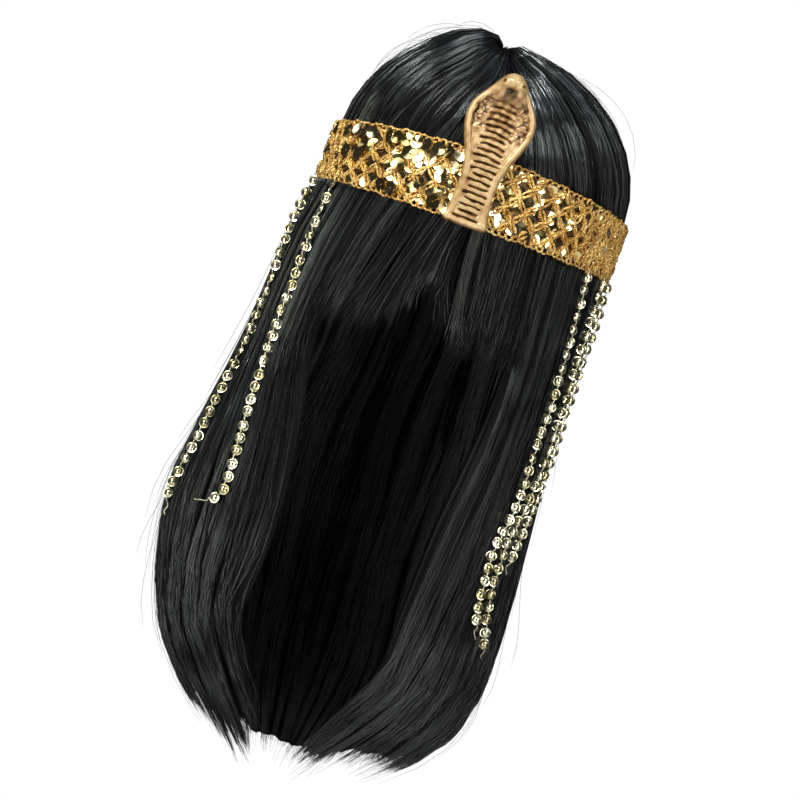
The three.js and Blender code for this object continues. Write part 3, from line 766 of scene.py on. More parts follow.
def strand_tubes(lines, thickness):
    """Thin tapering tubes along strands."""
    steps = np.linspace(0, 1, lines.shape[1])
    tapered = np.clip((steps - TAPER_FROM) / (1 - TAPER_FROM), 0, 1)
    radius = thickness * (1 - (1 - TIP_SHARE) * tapered)
    outward = unit(lines * [1, 1, 0] + [0, 0, 1e-6])
    return tubes(lines, radius, STRAND_SIDES, outward)


def strand_numbers(groups, brown):
    """Each point's shade, and how far along its strand it is, weighted by how brown the tips are."""
    shades = []
    tips = []
    for lines, shade in groups:
        count, steps = lines.shape[:2]
        rise = np.repeat(np.clip(np.linspace(-0.6, 1, steps), 0, 1), STRAND_SIDES)
        shades.append(np.repeat(shade, steps * STRAND_SIDES))
        tips.append(np.tile(rise, count) * brown)
    return {"shade": np.concatenate(shades), "tip": np.concatenate(tips)}


def strand_piece(name, groups, *nodes, brown=0.0, thickness=STRAND_RADIUS):
    """Two pieces of strands, the shiny and the dull ones."""
    for kind, finish, dull in (("_shiny", SHINY_HAIR, False), ("_dull", DULL_HAIR, True)):
        chosen = []
        for lines, shade in groups:
            wanted = (shade < DULL_SHADE) == dull
            chosen.append((lines[wanted], shade[wanted]))
        points, faces = joined([strand_tubes(lines, thickness) for lines, shade in chosen])
        piece = joined_mesh(name + kind, points, faces, strand_numbers(chosen, brown))
        settle(piece, "black_hair", finish, *nodes)


# %% [markdown]
# Hair at the sides and the back is made in layers: strands that fall from under the band to the hem,
# some that cross them, and strands over the crown from the parting. Strands inside the back hair are
# seen through the open front, and catch less light there, so they are painted a lighter grey towards
# the top as painted light.

# %% Side and back hair
draw = np.random.default_rng(31)
for panel in ("hair_left", "hair_right"):
    falling = hanging_lines(draw, panel, 1850, 46, 2.6)
    crossing = hanging_lines(draw, panel, 150, 150, 0.2, 0.07)
    rising = crown_lines(draw, panel, 1100, 34)
    strand_piece(panel + "_strands", [falling, crossing, rising], panel, brown=0.1)

INNER_SHARE = 0.9  # of the reach of the back hair
falling = hanging_lines(draw, "hair_back", 1050, 50, 2.6)
rising = crown_lines(draw, "hair_back", 520, 46)
strand_piece("hair_back_strands", [falling, rising], "hair_back")

inner, shade = hanging_lines(draw, "hair_back", 520, 40, 1.0)
inner[..., :2] *= INNER_SHARE
points, faces = strand_tubes(inner, STRAND_RADIUS)
numbers = strand_numbers([(inner, shade)], 0.0)
# Painted light: the inner strands are painted lighter grey near the top, fading towards the hem
numbers["tip"] = np.tile(np.repeat(np.linspace(1, 0.2, len(DOWN_STEPS)), STRAND_SIDES), len(inner))
inside = joined_mesh("hair_back_inside_painted_light", points, faces, numbers)
settle(inside, "black_hair", INNER_HAIR_PAINTED_LIGHT, "hair_back")

# %% [markdown]
# The fringe falls below the band in a few ragged locks that lean away from the parting. Each lock
# has its own tip, and its strands fan from the band and draw to a point. The table gives the angle
# at a lock's root, and the angle and height of its tip.

# %% Fringe
FRINGE_LOCKS = np.array(
    [
        (-36.0, -41.0, -184.0),
        (-30.0, -37.0, -181.0),
        (-24.0, -33.0, -182.0),
        (-18.0, -28.5, -179.0),
        (-13.0, -24.0, -182.0),
        (-8.5, -18.5, -181.0),
        (-5.0, -12.5, -174.0),
        (-2.8, -7.6, -163.0),
        (-1.2, -4.6, -154.0),
        (0.0, -2.2, -146.0),
        (1.2, 0.8, -153.0),
        (3.0, 6.2, -164.0),
        (5.5, 11.5, -173.0),
        (9.0, 15.0, -179.0),
        (13.5, 17.5, -168.0),
        (20.0, 22.5, -166.0),
        (27.0, 29.0, -171.0),
        (33.5, 35.0, -175.0),
    ],
    dtype=[("root", float), ("angle", float), ("tip", float)],
)
FRINGE_STEPS = np.linspace(0, 1, 8)


def fringe_lines(draw, count):
    """Strands of the fringe from under the band to the tips of its locks."""
    start = draw.uniform(-FRINGE_ANGLE - 3, FRINGE_ANGLE + 2, count)
    # A strand joins the lock with the nearest root, give or take a degree, and heads for its tip
    lock = np.abs((start + draw.normal(0, 1.0, count))[:, None] - FRINGE_LOCKS["root"][None]).argmin(1)
    off = start - FRINGE_LOCKS["root"][lock]
    longer = draw.exponential(3.5, count) - draw.exponential(2, count)
    tip = FRINGE_LOCKS["tip"][lock] + 1.6 * np.abs(off) + longer
    t = FRINGE_STEPS[None]
    z = UNDER_BAND_Z + (tip[:, None] - UNDER_BAND_Z) * t
    bow = draw.normal(0, 1.4, len(FRINGE_LOCKS))[lock][:, None] * np.sin(math.pi * t)
    stray = draw.normal(0, 1.5, count)[:, None] * t**2
    end = FRINGE_LOCKS["angle"][lock] + 0.35 * off
    angle = start[:, None] + (end - start)[:, None] * t**1.2 + bow + stray
    level = draw.uniform(0, 3.0, len(FRINGE_LOCKS))[lock]
    inset = (level + 1.6 * draw.random(count) - 0.5)[:, None] - 2.5 * t**2
    of_lock = draw.normal(0, 0.08, len(FRINGE_LOCKS))[lock]
    shade = np.clip(0.36 + of_lock + draw.normal(0, 0.2, count), 0, 1)
    return hanging_point(angle, z, inset), shade


draw = np.random.default_rng(41)
falling = fringe_lines(draw, 1700)
rising = crown_lines(draw, "fringe", 700, 26)
strand_piece("fringe_strands", [falling, rising], "fringe", brown=0.15)

# %% [markdown]
# A few single hairs leave the locks, mostly low down at the sides, at the hem and over the crown.
# They break the clean outline that would make the hair look moulded.

# %% Loose single hairs
SINGLE_RADIUS = 0.11


def single_hairs(draw, count, side_share, wide):
    """Single hairs that start on the outside of the hair and drift away from it."""
    side = np.where(draw.random(count) < side_share, -1, 1)
    angle = draw.uniform(46, 180, count) * side
    # They start anywhere from the band down to the lower hair, and end above the hem
    top = draw.uniform(-360, -110, count)
    length = np.minimum(draw.uniform(40, 130, count), top + 436)
    t = np.linspace(0, 1, 7)[None]
    z = top[:, None] - length[:, None] * t
    drift = draw.normal(0, 5, count)[:, None] * t**1.5
    away = np.clip(np.abs(draw.normal(0, wide, count)), 0, 14)[:, None] * np.sin(1.9 * t) * t
    return hanging_point(angle[:, None] + drift, z, 0.4 - away), draw.uniform(0.2, 0.7, count)


def crown_hairs(draw, count):
    """Single hairs that stand a little off the crown."""
    angle = draw.uniform(-180, 180, count)
    start = draw.uniform(4, 50, count)
    t = np.linspace(0, 1, 7)[None]
    sweep = start[:, None] + draw.uniform(15, 40, count)[:, None] * t
    off = np.abs(draw.normal(0, 2.6, count))[:, None] * np.sin(math.pi * np.clip(t * 0.8 + 0.1, 0, 1))
    inset = -off - crown_lift(angle, start)[:, None]
    place = crown_point(angle[:, None] + draw.normal(0, 5, count)[:, None] * t, sweep, inset)
    return place, draw.uniform(0.2, 0.7, count)


draw = np.random.default_rng(51)
near = single_hairs(draw, 120, 0.5, 3.0)
wide = single_hairs(draw, 60, 0.75, 8.0)
strand_piece("single_hairs", [near, wide, crown_hairs(draw, 110)], thickness=SINGLE_RADIUS)

# %% [markdown]
# ## The headband
# The band is a ring of gold elastic net. Sequins lie on it in staggered rows like scales, a lattice
# of metallic braid crosses over them, and the edges end in small loops. Near the right side, and a
# little on the left, the band is bunched up. All of it is placed by a length along the band and a
# height on it, so that the same pattern goes round the oval of the head without stretching.

# %% Places on the band
SIDE_DROP = 6.0  # how much lower the band's top edge lies at the sides
around = np.radians(np.linspace(-180, 180, 2881))
ring_x = (HAIR_HALF_WIDTH + SEAT_GAP) * np.sin(around)
ring_y = -(HAIR_HALF_LENGTH + SEAT_GAP) * np.cos(around)
steps = np.hypot(np.diff(ring_x), np.diff(ring_y))
ARC = np.concatenate([[0], np.cumsum(steps)]) - steps.sum() / 2
BAND_LENGTH = steps.sum()


def band_point(along, up, out):
    """Points on the band: a length along it from the front, a height from its middle, and an out step."""
    along = (along + BAND_LENGTH / 2) % BAND_LENGTH - BAND_LENGTH / 2
    turn = np.interp(along, ARC, around)
    x = (HAIR_HALF_WIDTH + SEAT_GAP + out) * np.sin(turn)
    y = -(HAIR_HALF_LENGTH + SEAT_GAP + out) * np.cos(turn)
    drop = SIDE_DROP * np.sin(turn) ** 2 * (up / BAND_HEIGHT + 0.5)
    return np.stack(np.broadcast_arrays(x, y, BAND_MIDDLE_Z + up - drop), -1)


def band_outward(along):
    """The directions that face straight out of the band."""
    along = (along + BAND_LENGTH / 2) % BAND_LENGTH - BAND_LENGTH / 2
    turn = np.interp(along, ARC, around)
    return unit(
        np.stack([np.sin(turn) / HAIR_HALF_WIDTH, -np.cos(turn) / HAIR_HALF_LENGTH, 0 * turn], -1)
    )


def bunching(along):
    """How bunched up the band is at a length along it: 0 flat, 1 most."""
    # From 62 to 190 mm on the right, and half as much from 92 to 190 mm on the left
    right = np.clip((along - 62) / 30, 0, 1) * np.clip((190 - along) / 40, 0, 1)
    left = 0.5 * np.clip((-92 - along) / 25, 0, 1) * np.clip((190 + along) / 40, 0, 1)
    return right + left


print("band", round(BAND_LENGTH), "mm long")

# %% [markdown]
# The net is an open cylinder that is scaled to the oval of the hair. It only shows as a dark ground
# between the sequins, so it needs no more than a wall.

# %% Net of the band
NET_WALL = 0.7
deselect_all()
bpy.ops.mesh.primitive_cylinder_add(vertices=192, radius=1, depth=1, end_fill_type="NOTHING")
net = bpy.context.object
net.name = "band_net"
for vertex in net.data.vertices:
    x, y, z = vertex.co
    up = (BAND_HEIGHT - 1) * z - SIDE_DROP * x**2 * (z + 0.5)
    vertex.co = (
        (HAIR_HALF_WIDTH + SEAT_GAP) * x * MM,
        (HAIR_HALF_LENGTH + SEAT_GAP) * y * MM,
        (BAND_MIDDLE_Z + up) * MM,
    )
thicken(net, NET_WALL, 1)
smooth_but_edges(net, 40)
settle(net, "gold_sequin_trim", BACKING, "headband")

# %% [markdown]
# A sequin is a disc of film with a hole. Rings are drawn out from the hole's edge, and each one is
# set to its own height, which makes it a shallow cup or a dome. Copies of it are then turned to face
# outwards, each a little differently, because that is what makes sequins glitter.

# %% One sequin
SEQUIN_FILM = 0.12


def sequin(name, radii, heights):
    """A round sequin with a hole, raised or hollow so that its sides mirror differently."""
    deselect_all()
    bpy.ops.mesh.primitive_circle_add(vertices=12, radius=radii[0] * MM, fill_type="NOTHING")
    disc = bpy.context.object
    disc.name = name
    bpy.ops.object.mode_set(mode="EDIT")
    bpy.ops.mesh.select_all(action="SELECT")
    for inner, outer in zip(radii, radii[1:]):
        bpy.ops.mesh.extrude_edges_move()
        bpy.ops.transform.resize(value=(outer / inner, outer / inner, 1))
    bpy.ops.object.mode_set(mode="OBJECT")
    for vertex in disc.data.vertices:
        vertex.co.z = np.interp(vertex.co.xy.length / MM, radii, heights) * MM
    thicken(disc, SEQUIN_FILM, 0)
    return disc


def facing_turns(outward, spin, tip, roll):
    """Turn matrices that face +Z outward, tipped up and down and rolled sideways, and spun about itself."""
    up = np.broadcast_to([0.0, 0.0, 1.0], outward.shape)
    side = unit(np.cross(up, outward))
    front = unit(outward + np.tan(tip)[:, None] * up + np.tan(roll)[:, None] * side)
    side = unit(np.cross(up, front))
    rise = np.cross(front, side)
    a = np.cos(spin)[:, None] * side + np.sin(spin)[:, None] * rise
    b = np.cross(front, a)
    return np.stack([a, b, front], -1)


# %% Sequins of the band
ROWS = 5
ROW_STEP = BAND_HEIGHT / ROWS
SEQUIN_PITCH = 7.0
SEQUIN_OUT = 1.0
OVER_BRAID = 1.9  # how much further out a sequin is that lies over the braid
draw = np.random.default_rng(61)
columns = round(BAND_LENGTH / SEQUIN_PITCH)
row, column = np.meshgrid(np.arange(ROWS), np.arange(columns), indexing="ij")
row = row.ravel()
column = column.ravel()
along = (column + 0.5 * (row % 2)) * BAND_LENGTH / columns - BAND_LENGTH / 2 + draw.normal(0, 0.6, row.size)
up = (row + 0.5) * ROW_STEP - BAND_HEIGHT / 2 + draw.normal(0, 0.5, row.size)
bunched = bunching(along)
keep = draw.random(row.size) > 0.7 * bunched
along, up, bunched, row = along[keep], up[keep], bunched[keep], row[keep]
# Left of the cobra many sequins lie over the braid, most of them in the top row
loose = draw.random(along.size) < np.where(row == ROWS - 1, 0.9, 0.35)
on_top = smooth_step(-along, -5, 25) * smooth_step(along, -160, -120) * (1 - bunched) * loose
tip = np.radians(draw.normal(9, 12 + 12 * bunched, along.size) - 8 * smooth_step(along, 0, 30))
roll = np.radians(draw.normal(0, 13 + 14 * bunched, along.size))
turns = facing_turns(band_outward(along), draw.uniform(0, 6.3, along.size), tip, roll)
disc = sequin("band_sequin", radii=[0.55, 4.0], heights=[0.07, 0.52])
points, faces = copies(disc, band_point(along, up, SEQUIN_OUT + OVER_BRAID * on_top), turns)
shade = np.repeat(draw.random(along.size), len(disc.data.vertices))
sequins = joined_mesh("band_sequins", points, faces, {"shade": shade})
smooth_but_edges(sequins, 40)
bpy.data.objects.remove(disc)
settle(sequins, "gold_sequin_trim", BAND_SEQUIN, "headband")

# %% [markdown]
# The braid is a pair of knobbly cords that part and cross like a chain of leaves. Two sets of them
# lean against each other and cross where the leaves meet, which leaves a round hole over each sequin.

# %% Braid lattice of the band
LATTICE_PITCH = 14.0
BRAID_OUT = 1.5
CORD_RADIUS = 1.05
CORD_PART = 1.2
CORD_SLOPE = 1.32  # a cord's length for each millimetre of height
KNOB_PITCH = 2.1
LATTICE_STEPS = 48

# Cords stand closer where the band is bunched, and a whole number of them goes round
spread = np.linspace(-BAND_LENGTH / 2, BAND_LENGTH / 2, 2001)
density = (1 + 1.3 * bunching(spread)) / LATTICE_PITCH
order = np.concatenate([[0], np.cumsum((density[1:] + density[:-1]) / 2 * np.diff(spread))])
LATTICE_COUNT = round(order[-1])
order = order * LATTICE_COUNT / order[-1]

draw = np.random.default_rng(71)
level = np.linspace(-0.5, 0.5, LATTICE_STEPS)[None] * (BAND_HEIGHT - 1.5)
number = np.repeat(np.arange(LATTICE_COUNT), 4)[:, None]
lean = np.tile([1, 1, -1, -1], LATTICE_COUNT)[:, None]
ply = np.tile([1, -1, 1, -1], LATTICE_COUNT)[:, None]
leaf = math.pi * (level + BAND_HEIGHT / 2) / ROW_STEP
place = number + lean * (level + BAND_HEIGHT / 2) / (2 * ROW_STEP)
along = np.interp(place % LATTICE_COUNT, order, spread)
bunched = bunching(along)
wobble = draw.uniform(0, 6.3, (len(number), 3))
slack = 0.3 + 1.0 * bunched
part = CORD_PART * ply * np.sin(leaf)
along = along + part * 0.75 + slack * np.sin(level / 3.1 + wobble[:, :1])
up = level - part * lean * 0.66 + slack * 0.8 * np.sin(level / 2.4 + wobble[:, 1:2])
rise = 0.35 * ply * np.cos(leaf) + 0.2 * lean * np.cos(leaf)
out = BRAID_OUT + rise + slack * 0.5 * np.sin(level / 2.0 + wobble[:, 2:])
knob = 1 + 0.24 * np.sin(2 * math.pi * level * CORD_SLOPE / KNOB_PITCH + wobble[:, 2:])
fine = smooth_step(-along, 0, 30) * (1 - bunched)
radius = CORD_RADIUS * knob * (1 - 0.12 * fine)
points, faces = tubes(band_point(along, up, out), radius, 4, band_outward(along))
lattice = joined_mesh("band_lattice", points, faces)
settle(lattice, "gold_sequin_trim", BRAID, "headband")

# %% [markdown]
# Both edges of the trim end in a row of small loops of the same braid. One closed line that curls
# back on itself at every loop makes a whole edge.

# %% Edge loops of the band
LOOP_PITCH = 4.2
LOOP_RADIUS = 0.72
LOOP_STEPS = 8
loops = round(BAND_LENGTH / LOOP_PITCH)
parts = []
for side in (1, -1):
    turn = np.arange(loops * LOOP_STEPS)[None] / LOOP_STEPS
    along = turn * BAND_LENGTH / loops - 1.5 * np.sin(2 * math.pi * turn)
    swell = 1 + 0.25 * np.sin(turn * 1.7) * np.sin(turn * 0.61)
    edge = side * (BAND_HEIGHT / 2 - 1.3 + 1.5 * swell * (1 - np.cos(2 * math.pi * turn)))
    out = 1.3 + 0.45 * np.sin(2 * math.pi * turn) + 0.3 * np.sin(turn * 2.3)
    parts.append(tubes(band_point(along, edge, out), LOOP_RADIUS, 5, band_outward(along), True))
points, faces = joined(parts)
edging = joined_mesh("band_edging", points, faces)
settle(edging, "gold_sequin_trim", BRAID, "headband")

# %% [markdown]
# ## The cobra
# The cobra is one moulding. A grid is moved onto its relief: a smooth raised rim, flat cross bars
# with narrow grooves, scales at both sides of the hood, and a rounded head with two eyes. Its edge
# is then drawn back to a flat back against the band. Sculpting would do as well, but waves and steps
# of the height keep the bars even and can be changed later. How deep a point lies goes to the paint,
# with stains, and with painted shade at the rolled rim, under the head and at the foot.

# %% Relief of the cobra
COBRA_SECTIONS = np.array(
    [
        (0, 11.4, 3.0, 2.6, 0),
        (0.7, 12.9, 4.6, 4.0, 0),
        (1.8, 13.6, 5.6, 4.8, 0),
        (3.2, 13.5, 5.5, 3.6, 0),
        (5, 12.9, 5.1, 2.7, 0),
        (10, 12.2, 5.0, 2.6, 0),
        (23, 11.3, 5.0, 2.6, 0),
        (32, 11.8, 5.2, 2.7, 0),
        (42, 14.4, 5.6, 2.8, 0),
        (50, 17.6, 6.0, 2.8, 1.4),
        (58, 20.2, 6.2, 2.8, 3.2),
        (64, 20.9, 6.4, 3.0, 4.8),
        (70, 20.0, 6.8, 3.6, 6.4),
        (75, 17.6, 7.2, 6.0, 7.6),
        (80, 14.0, 7.8, 11.0, 8.6),
        (85, 10.7, 8.4, 15.0, 9.2),
        (89, 8.2, 8.4, 15.4, 9.6),
        (92, 5.8, 8.0, 12.5, 9.8),
        (93.5, 3.4, 6.5, 8.0, 10),
    ],
    dtype=[(name, float) for name in ("up", "half", "rim", "front", "lean")],
)
COBRA_RIBS = {"first": 4.6, "last": 75.6, "count": 19, "height": 1.9}
draw = np.random.default_rng(91)
RIB_WIDTH, RIB_TILT, RIB_LEFT, RIB_RIGHT = draw.normal(0, 1, (4, COBRA_RIBS["count"] + 1))
RIB_WIDTH = 1 + 0.5 * RIB_WIDTH
COBRA_EYE = {"radius": 1.5, "out": 5.9, "up": 87.5}
RIM_WIDTH = 4.3
BACK_TAPER = 0.94
COBRA_BACK_Y = -(HAIR_HALF_LENGTH + SEAT_GAP + BAND_WALL + SEAT_GAP)


def cobra_relief(share, up):
    """Points of the cobra's front (x, y, z) at shares -1 to 1 of its width, and the darkness of the paint
    there, painted shade included.
    """
    keys = COBRA_SECTIONS.dtype.names
    section = {key: np.interp(up, COBRA_SECTIONS["up"], COBRA_SECTIONS[key]) for key in keys}
    x = section["half"] * share
    inside = section["half"] * (1 - np.abs(share))
    uneven = 0.5 * np.sin(0.9 * up + 0.5 * x) + 0.5 * np.sin(0.37 * up - 0.8 * x + 2)
    # The head grows out of the hood, and the rim rolls over round a sunk panel
    neck = smooth_step(np.abs(share), 0.55, 0.8) * (1 - smooth_step(up, 82, 88))
    head = smooth_step(up, 76, 82) * (1 - neck)
    roll = np.sqrt(np.clip(1 - (1 - np.clip(inside / 2.2, 0, 1)) ** 2, 0, 1))
    within = smooth_step(inside, RIM_WIDTH - 1.2 + 0.3 * uneven, RIM_WIDTH + 0.9)
    # Bars across the middle, each with its own width, tilt and reach
    bow = (0.003 + 0.015 * smooth_step(up, 25, 50)) * x**2
    rib_place = (up + bow + 0.3 * uneven - COBRA_RIBS["first"]) / (COBRA_RIBS["last"] - COBRA_RIBS["first"])
    rib = np.clip(np.floor(rib_place * COBRA_RIBS["count"] + 0.5), 0, COBRA_RIBS["count"]).astype(int)
    off = np.abs(rib_place * COBRA_RIBS["count"] - rib + 0.012 * x * RIB_TILT[rib])
    bar = smooth_step(off, 0.06, 0.17 + 0.1 * RIB_WIDTH[rib] + 0.06 * uneven)
    ribbed = smooth_step(rib_place, -0.03, 0.0) * (1 - smooth_step(rib_place, 0.98, 1.02))
    column = 7.2 + 0.5 * uneven + 1.6 * smooth_step(up, 40, 56) - 1.5 * smooth_step(up, 64, 76)
    middle = 1 - smooth_step(np.abs(x), column - 0.7, column + 1.0)
    reach = column + np.where(x < 0, RIB_LEFT[rib], RIB_RIGHT[rib])
    across = 1 - smooth_step(np.abs(x), reach - 1.2, reach + 0.8)
    # Scales at both sides of the hood, in two sets of lines that cross
    warp = np.sin(1.3 * x + 0.6 * up) + np.sin(0.7 * up - 1.1 * x)
    net = [np.sin(0.8 * (x + side * 0.9 * up) + 0.35 * warp) for side in (1, -1)]
    scale_edge = np.maximum(np.exp(-((net[0] / 0.4) ** 2)), np.exp(-((net[1] / 0.4) ** 2)))
    scaly = smooth_step(up, 52, 60) * (1 - smooth_step(up, 76, 80)) * (1 - middle)
    # The height of the flat parts, and of the rounded head with its mouth, chin and eyes
    groove = within * ribbed * across * (1 - bar)
    pit = within * scaly * scale_edge * np.clip(0.75 + 0.25 * warp, 0.2, 1)
    floor = section["front"] + COBRA_RIBS["height"] * (0.85 + 0.15 * uneven) * (1 - groove - 0.8 * pit)
    flat = section["rim"] * roll * (1 - within) + floor * within
    dome = np.sqrt(np.clip(1 - (share * 1.05) ** 2, 0, 1))
    rounded = section["rim"] * 0.35 * roll + section["front"] * 0.85 * dome
    mouth = 2.2 * np.exp(-(((up - 82.5) / 1.2) ** 2) - (x / 2.6) ** 2)
    shadow = np.exp(-(((up - 80.5) / 3.2) ** 2) - (x / 4.6) ** 2)
    chin = 0.35 * np.exp(-(((up - 79.6 - 0.05 * x**2) / 0.7) ** 2)) * (1 - smooth_step(np.abs(x), 4, 6))
    out = flat * (1 - head) + rounded * head - mouth - chin
    from_eye = np.hypot(np.abs(x) - COBRA_EYE["out"], up - COBRA_EYE["up"])
    ring = np.exp(-(((from_eye - COBRA_EYE["radius"]) / 0.45) ** 2))
    pupil = np.exp(-((from_eye / 0.9) ** 2))
    out = out + 0.5 * ring - 0.4 * pupil
    # What lies deep or is stained takes darker paint, and painted shade darkens the rolled edge of the rim,
    # the part under the head and the foot
    crease = within * (1 - smooth_step(inside, RIM_WIDTH, RIM_WIDTH + 2.4)) * (1 - head)
    mottle = np.sin(0.9 * x + 0.5 * up) * np.sin(0.45 * up - 0.4 * x + 1) + 0.6 * np.sin(1.4 * x - 0.8 * up)
    stain = within * smooth_step(up, 46, 66) * (1 - smooth_step(up, 78, 90)) * (1.0 + 0.7 * mottle)
    inked = np.clip(0.85 + 0.3 * np.sin(0.45 * x + 2.3 * rib), 0.5, 1) - 0.25 * smooth_step(up, 50, 66)
    recess = inked * groove + 0.55 * pit + 0.25 * crease + 0.4 * mouth + 0.5 * chin + 0.85 * pupil
    # Painted shade where the rim rolls over, and a painted shadow under the head
    recess = recess + 0.4 * (1 - roll) + 0.3 * shadow + 0.2 * stain + 0.06 * uneven
    # Patches of stain, and painted shade at the foot of the moulding
    recess = recess + 0.08 * (mottle + 0.6) + 0.35 * (1 - smooth_step(up, 0, 1.5))
    y = COBRA_BACK_Y + section["lean"] - out
    return np.stack([x, y, COBRA_FOOT_Z + up], -1), np.clip(recess, 0, 1)


# %% [markdown]
# The grid is finer at its sides, where the rim rolls over. Its open edge is drawn out to the back and
# closed with one face, so that the moulding is solid.

# %% Moulding of the cobra
deselect_all()
bpy.ops.mesh.primitive_grid_add(x_subdivisions=76, y_subdivisions=180, size=2)
cobra = bpy.context.object
cobra.name = "cobra_moulding"
flat = np.array([v.co for v in cobra.data.vertices])
share = np.sin(flat[:, 0] * math.pi / 2)
up = (flat[:, 1] + 1) / 2 * COBRA_SECTIONS["up"][-1]
place, recess = cobra_relief(share, up)
cobra.data.vertices.foreach_set("co", (place * MM).ravel())
# The paint's darkness, painted shade included, goes to the finish as a number per point
cobra.data.attributes.new("recess", "FLOAT", "POINT").data.foreach_set("value", recess)
bpy.ops.object.mode_set(mode="EDIT")
bpy.ops.mesh.select_all(action="DESELECT")
bpy.ops.mesh.select_non_manifold()
bpy.ops.mesh.extrude_region_move(TRANSFORM_OT_translate={"value": (0, 0.001, 0)})
bpy.ops.object.mode_set(mode="OBJECT")
for vertex in [v for v in cobra.data.vertices if v.select]:
    height = vertex.co.z / MM - COBRA_FOOT_Z
    back = COBRA_BACK_Y + np.interp(height, COBRA_SECTIONS["up"], COBRA_SECTIONS["lean"])
    vertex.co = (vertex.co.x * BACK_TAPER, back * MM, vertex.co.z)
bpy.ops.object.mode_set(mode="EDIT")
bpy.ops.mesh.edge_face_add()
bpy.ops.mesh.select_all(action="SELECT")
bpy.ops.mesh.normals_make_consistent(inside=False)
bpy.ops.object.mode_set(mode="OBJECT")
smooth_but_edges(cobra, 50)
settle(cobra, "antique_gold_plastic", COBRA_PAINT, "cobra")

# %% [markdown]
# ## Strings of sequins
# Each string hangs from the band's lower edge over the side hair, and its path is a few heights below
# the band with an angle each. A physics step could let it fall, but here it keeps the bends that were
# measured. The thread ends in a short free tail.

# %% Lines of the strings
STRING_CLEARANCE = 1.8
STRING_TOP_Z = BAND_MIDDLE_Z - BAND_HEIGHT / 2 - SEAT_GAP
CUP_PITCH = 8.0
CUP_FIRST = 0.6
LINE_STEP = 0.5
FACE_FRONT = np.array([-0.2, -2.6, 0.0])  # how much the sequins turn to the front from outwards
THREAD_PLIES = 2
THREAD_RADIUS = 0.24
PLY_TURN = 0.26
PLY_PITCH = 2.6
STRINGS = {
    "sequin_string_left_front": {
        "below": [0, 32, 95, 123, 171, 190, 199, 203, 205],
        "angle": [-57, -54.5, -53.5, -50.5, -44, -42, -42, -45, -50],
        "tail": 10,
        "drop": 0.3,
    },
    "sequin_string_left_side": {
        "below": [0, 50, 110, 170, 195, 206, 218],
        "angle": [-76, -72, -70, -68, -69.5, -73, -71],
        "tail": 5,
        "drop": 1.0,
    },
    "sequin_string_right_front": {
        "below": [0, 80, 140, 177, 208, 225],
        "angle": [57, 61.5, 58.5, 51.5, 52, 55],
        "tail": 4,
        "drop": 1.0,
    },
    "sequin_string_right_middle": {
        "below": [0, 80, 110, 140, 170, 200, 217, 233],
        "angle": [72, 72, 71.5, 65, 57.5, 56.5, 59, 63],
        "tail": 5,
        "drop": 1.0,
    },
    "sequin_string_right_side": {
        "below": [0, 50, 110, 146, 168, 182],
        "angle": [86, 81, 79, 70, 65.5, 62.5],
        "tail": 4,
        "drop": 1.0,
    },
}


def string_line(name):
    """Evenly spaced points along a string, with its free tail."""
    table = STRINGS[name]
    below = np.linspace(0, table["below"][-1], 400)
    angle = np.interp(below, table["below"], table["angle"])
    soft = np.ones(13) / 13
    angle = np.convolve(np.pad(angle, 6, mode="edge"), soft, mode="valid")
    line = hanging_point(angle, STRING_TOP_Z - below, -STRING_CLEARANCE)
    ahead = unit((line[-1] - line[-4]) * [1, 1, table["drop"]])
    line = np.concatenate([line, line[-1] + ahead * np.linspace(LINE_STEP, table["tail"], 12)[:, None]])
    length = np.concatenate([[0], np.cumsum(np.linalg.norm(np.diff(line, axis=0), axis=1))])
    even = np.arange(0, length[-1], LINE_STEP)
    return np.stack([np.interp(even, length, line[:, k]) for k in range(3)], -1), table["tail"]


def twisted(line, outward):
    """Lines of the plies of a twisted thread around its middle line."""
    along = unit(np.gradient(line, axis=0))
    across = unit(np.cross(along, outward))
    facing = np.cross(across, along)
    length = np.cumsum(np.linalg.norm(np.diff(line, axis=0, prepend=line[:1]), axis=1))
    plies = []
    for ply in range(THREAD_PLIES):
        phase = 2 * math.pi * (length / PLY_PITCH + ply / THREAD_PLIES)
        offset = np.cos(phase)[:, None] * across * 1.15 + np.sin(phase)[:, None] * facing * 0.75
        plies.append(line + PLY_TURN * offset)
    return np.stack(plies)


# %% [markdown]
# Domed sequins sit on the thread at an even pitch. They face between the front and straight out, and
# those higher up are turned more on their thread. The thread weaves from hole to hole, and is two
# plies twisted round each other.

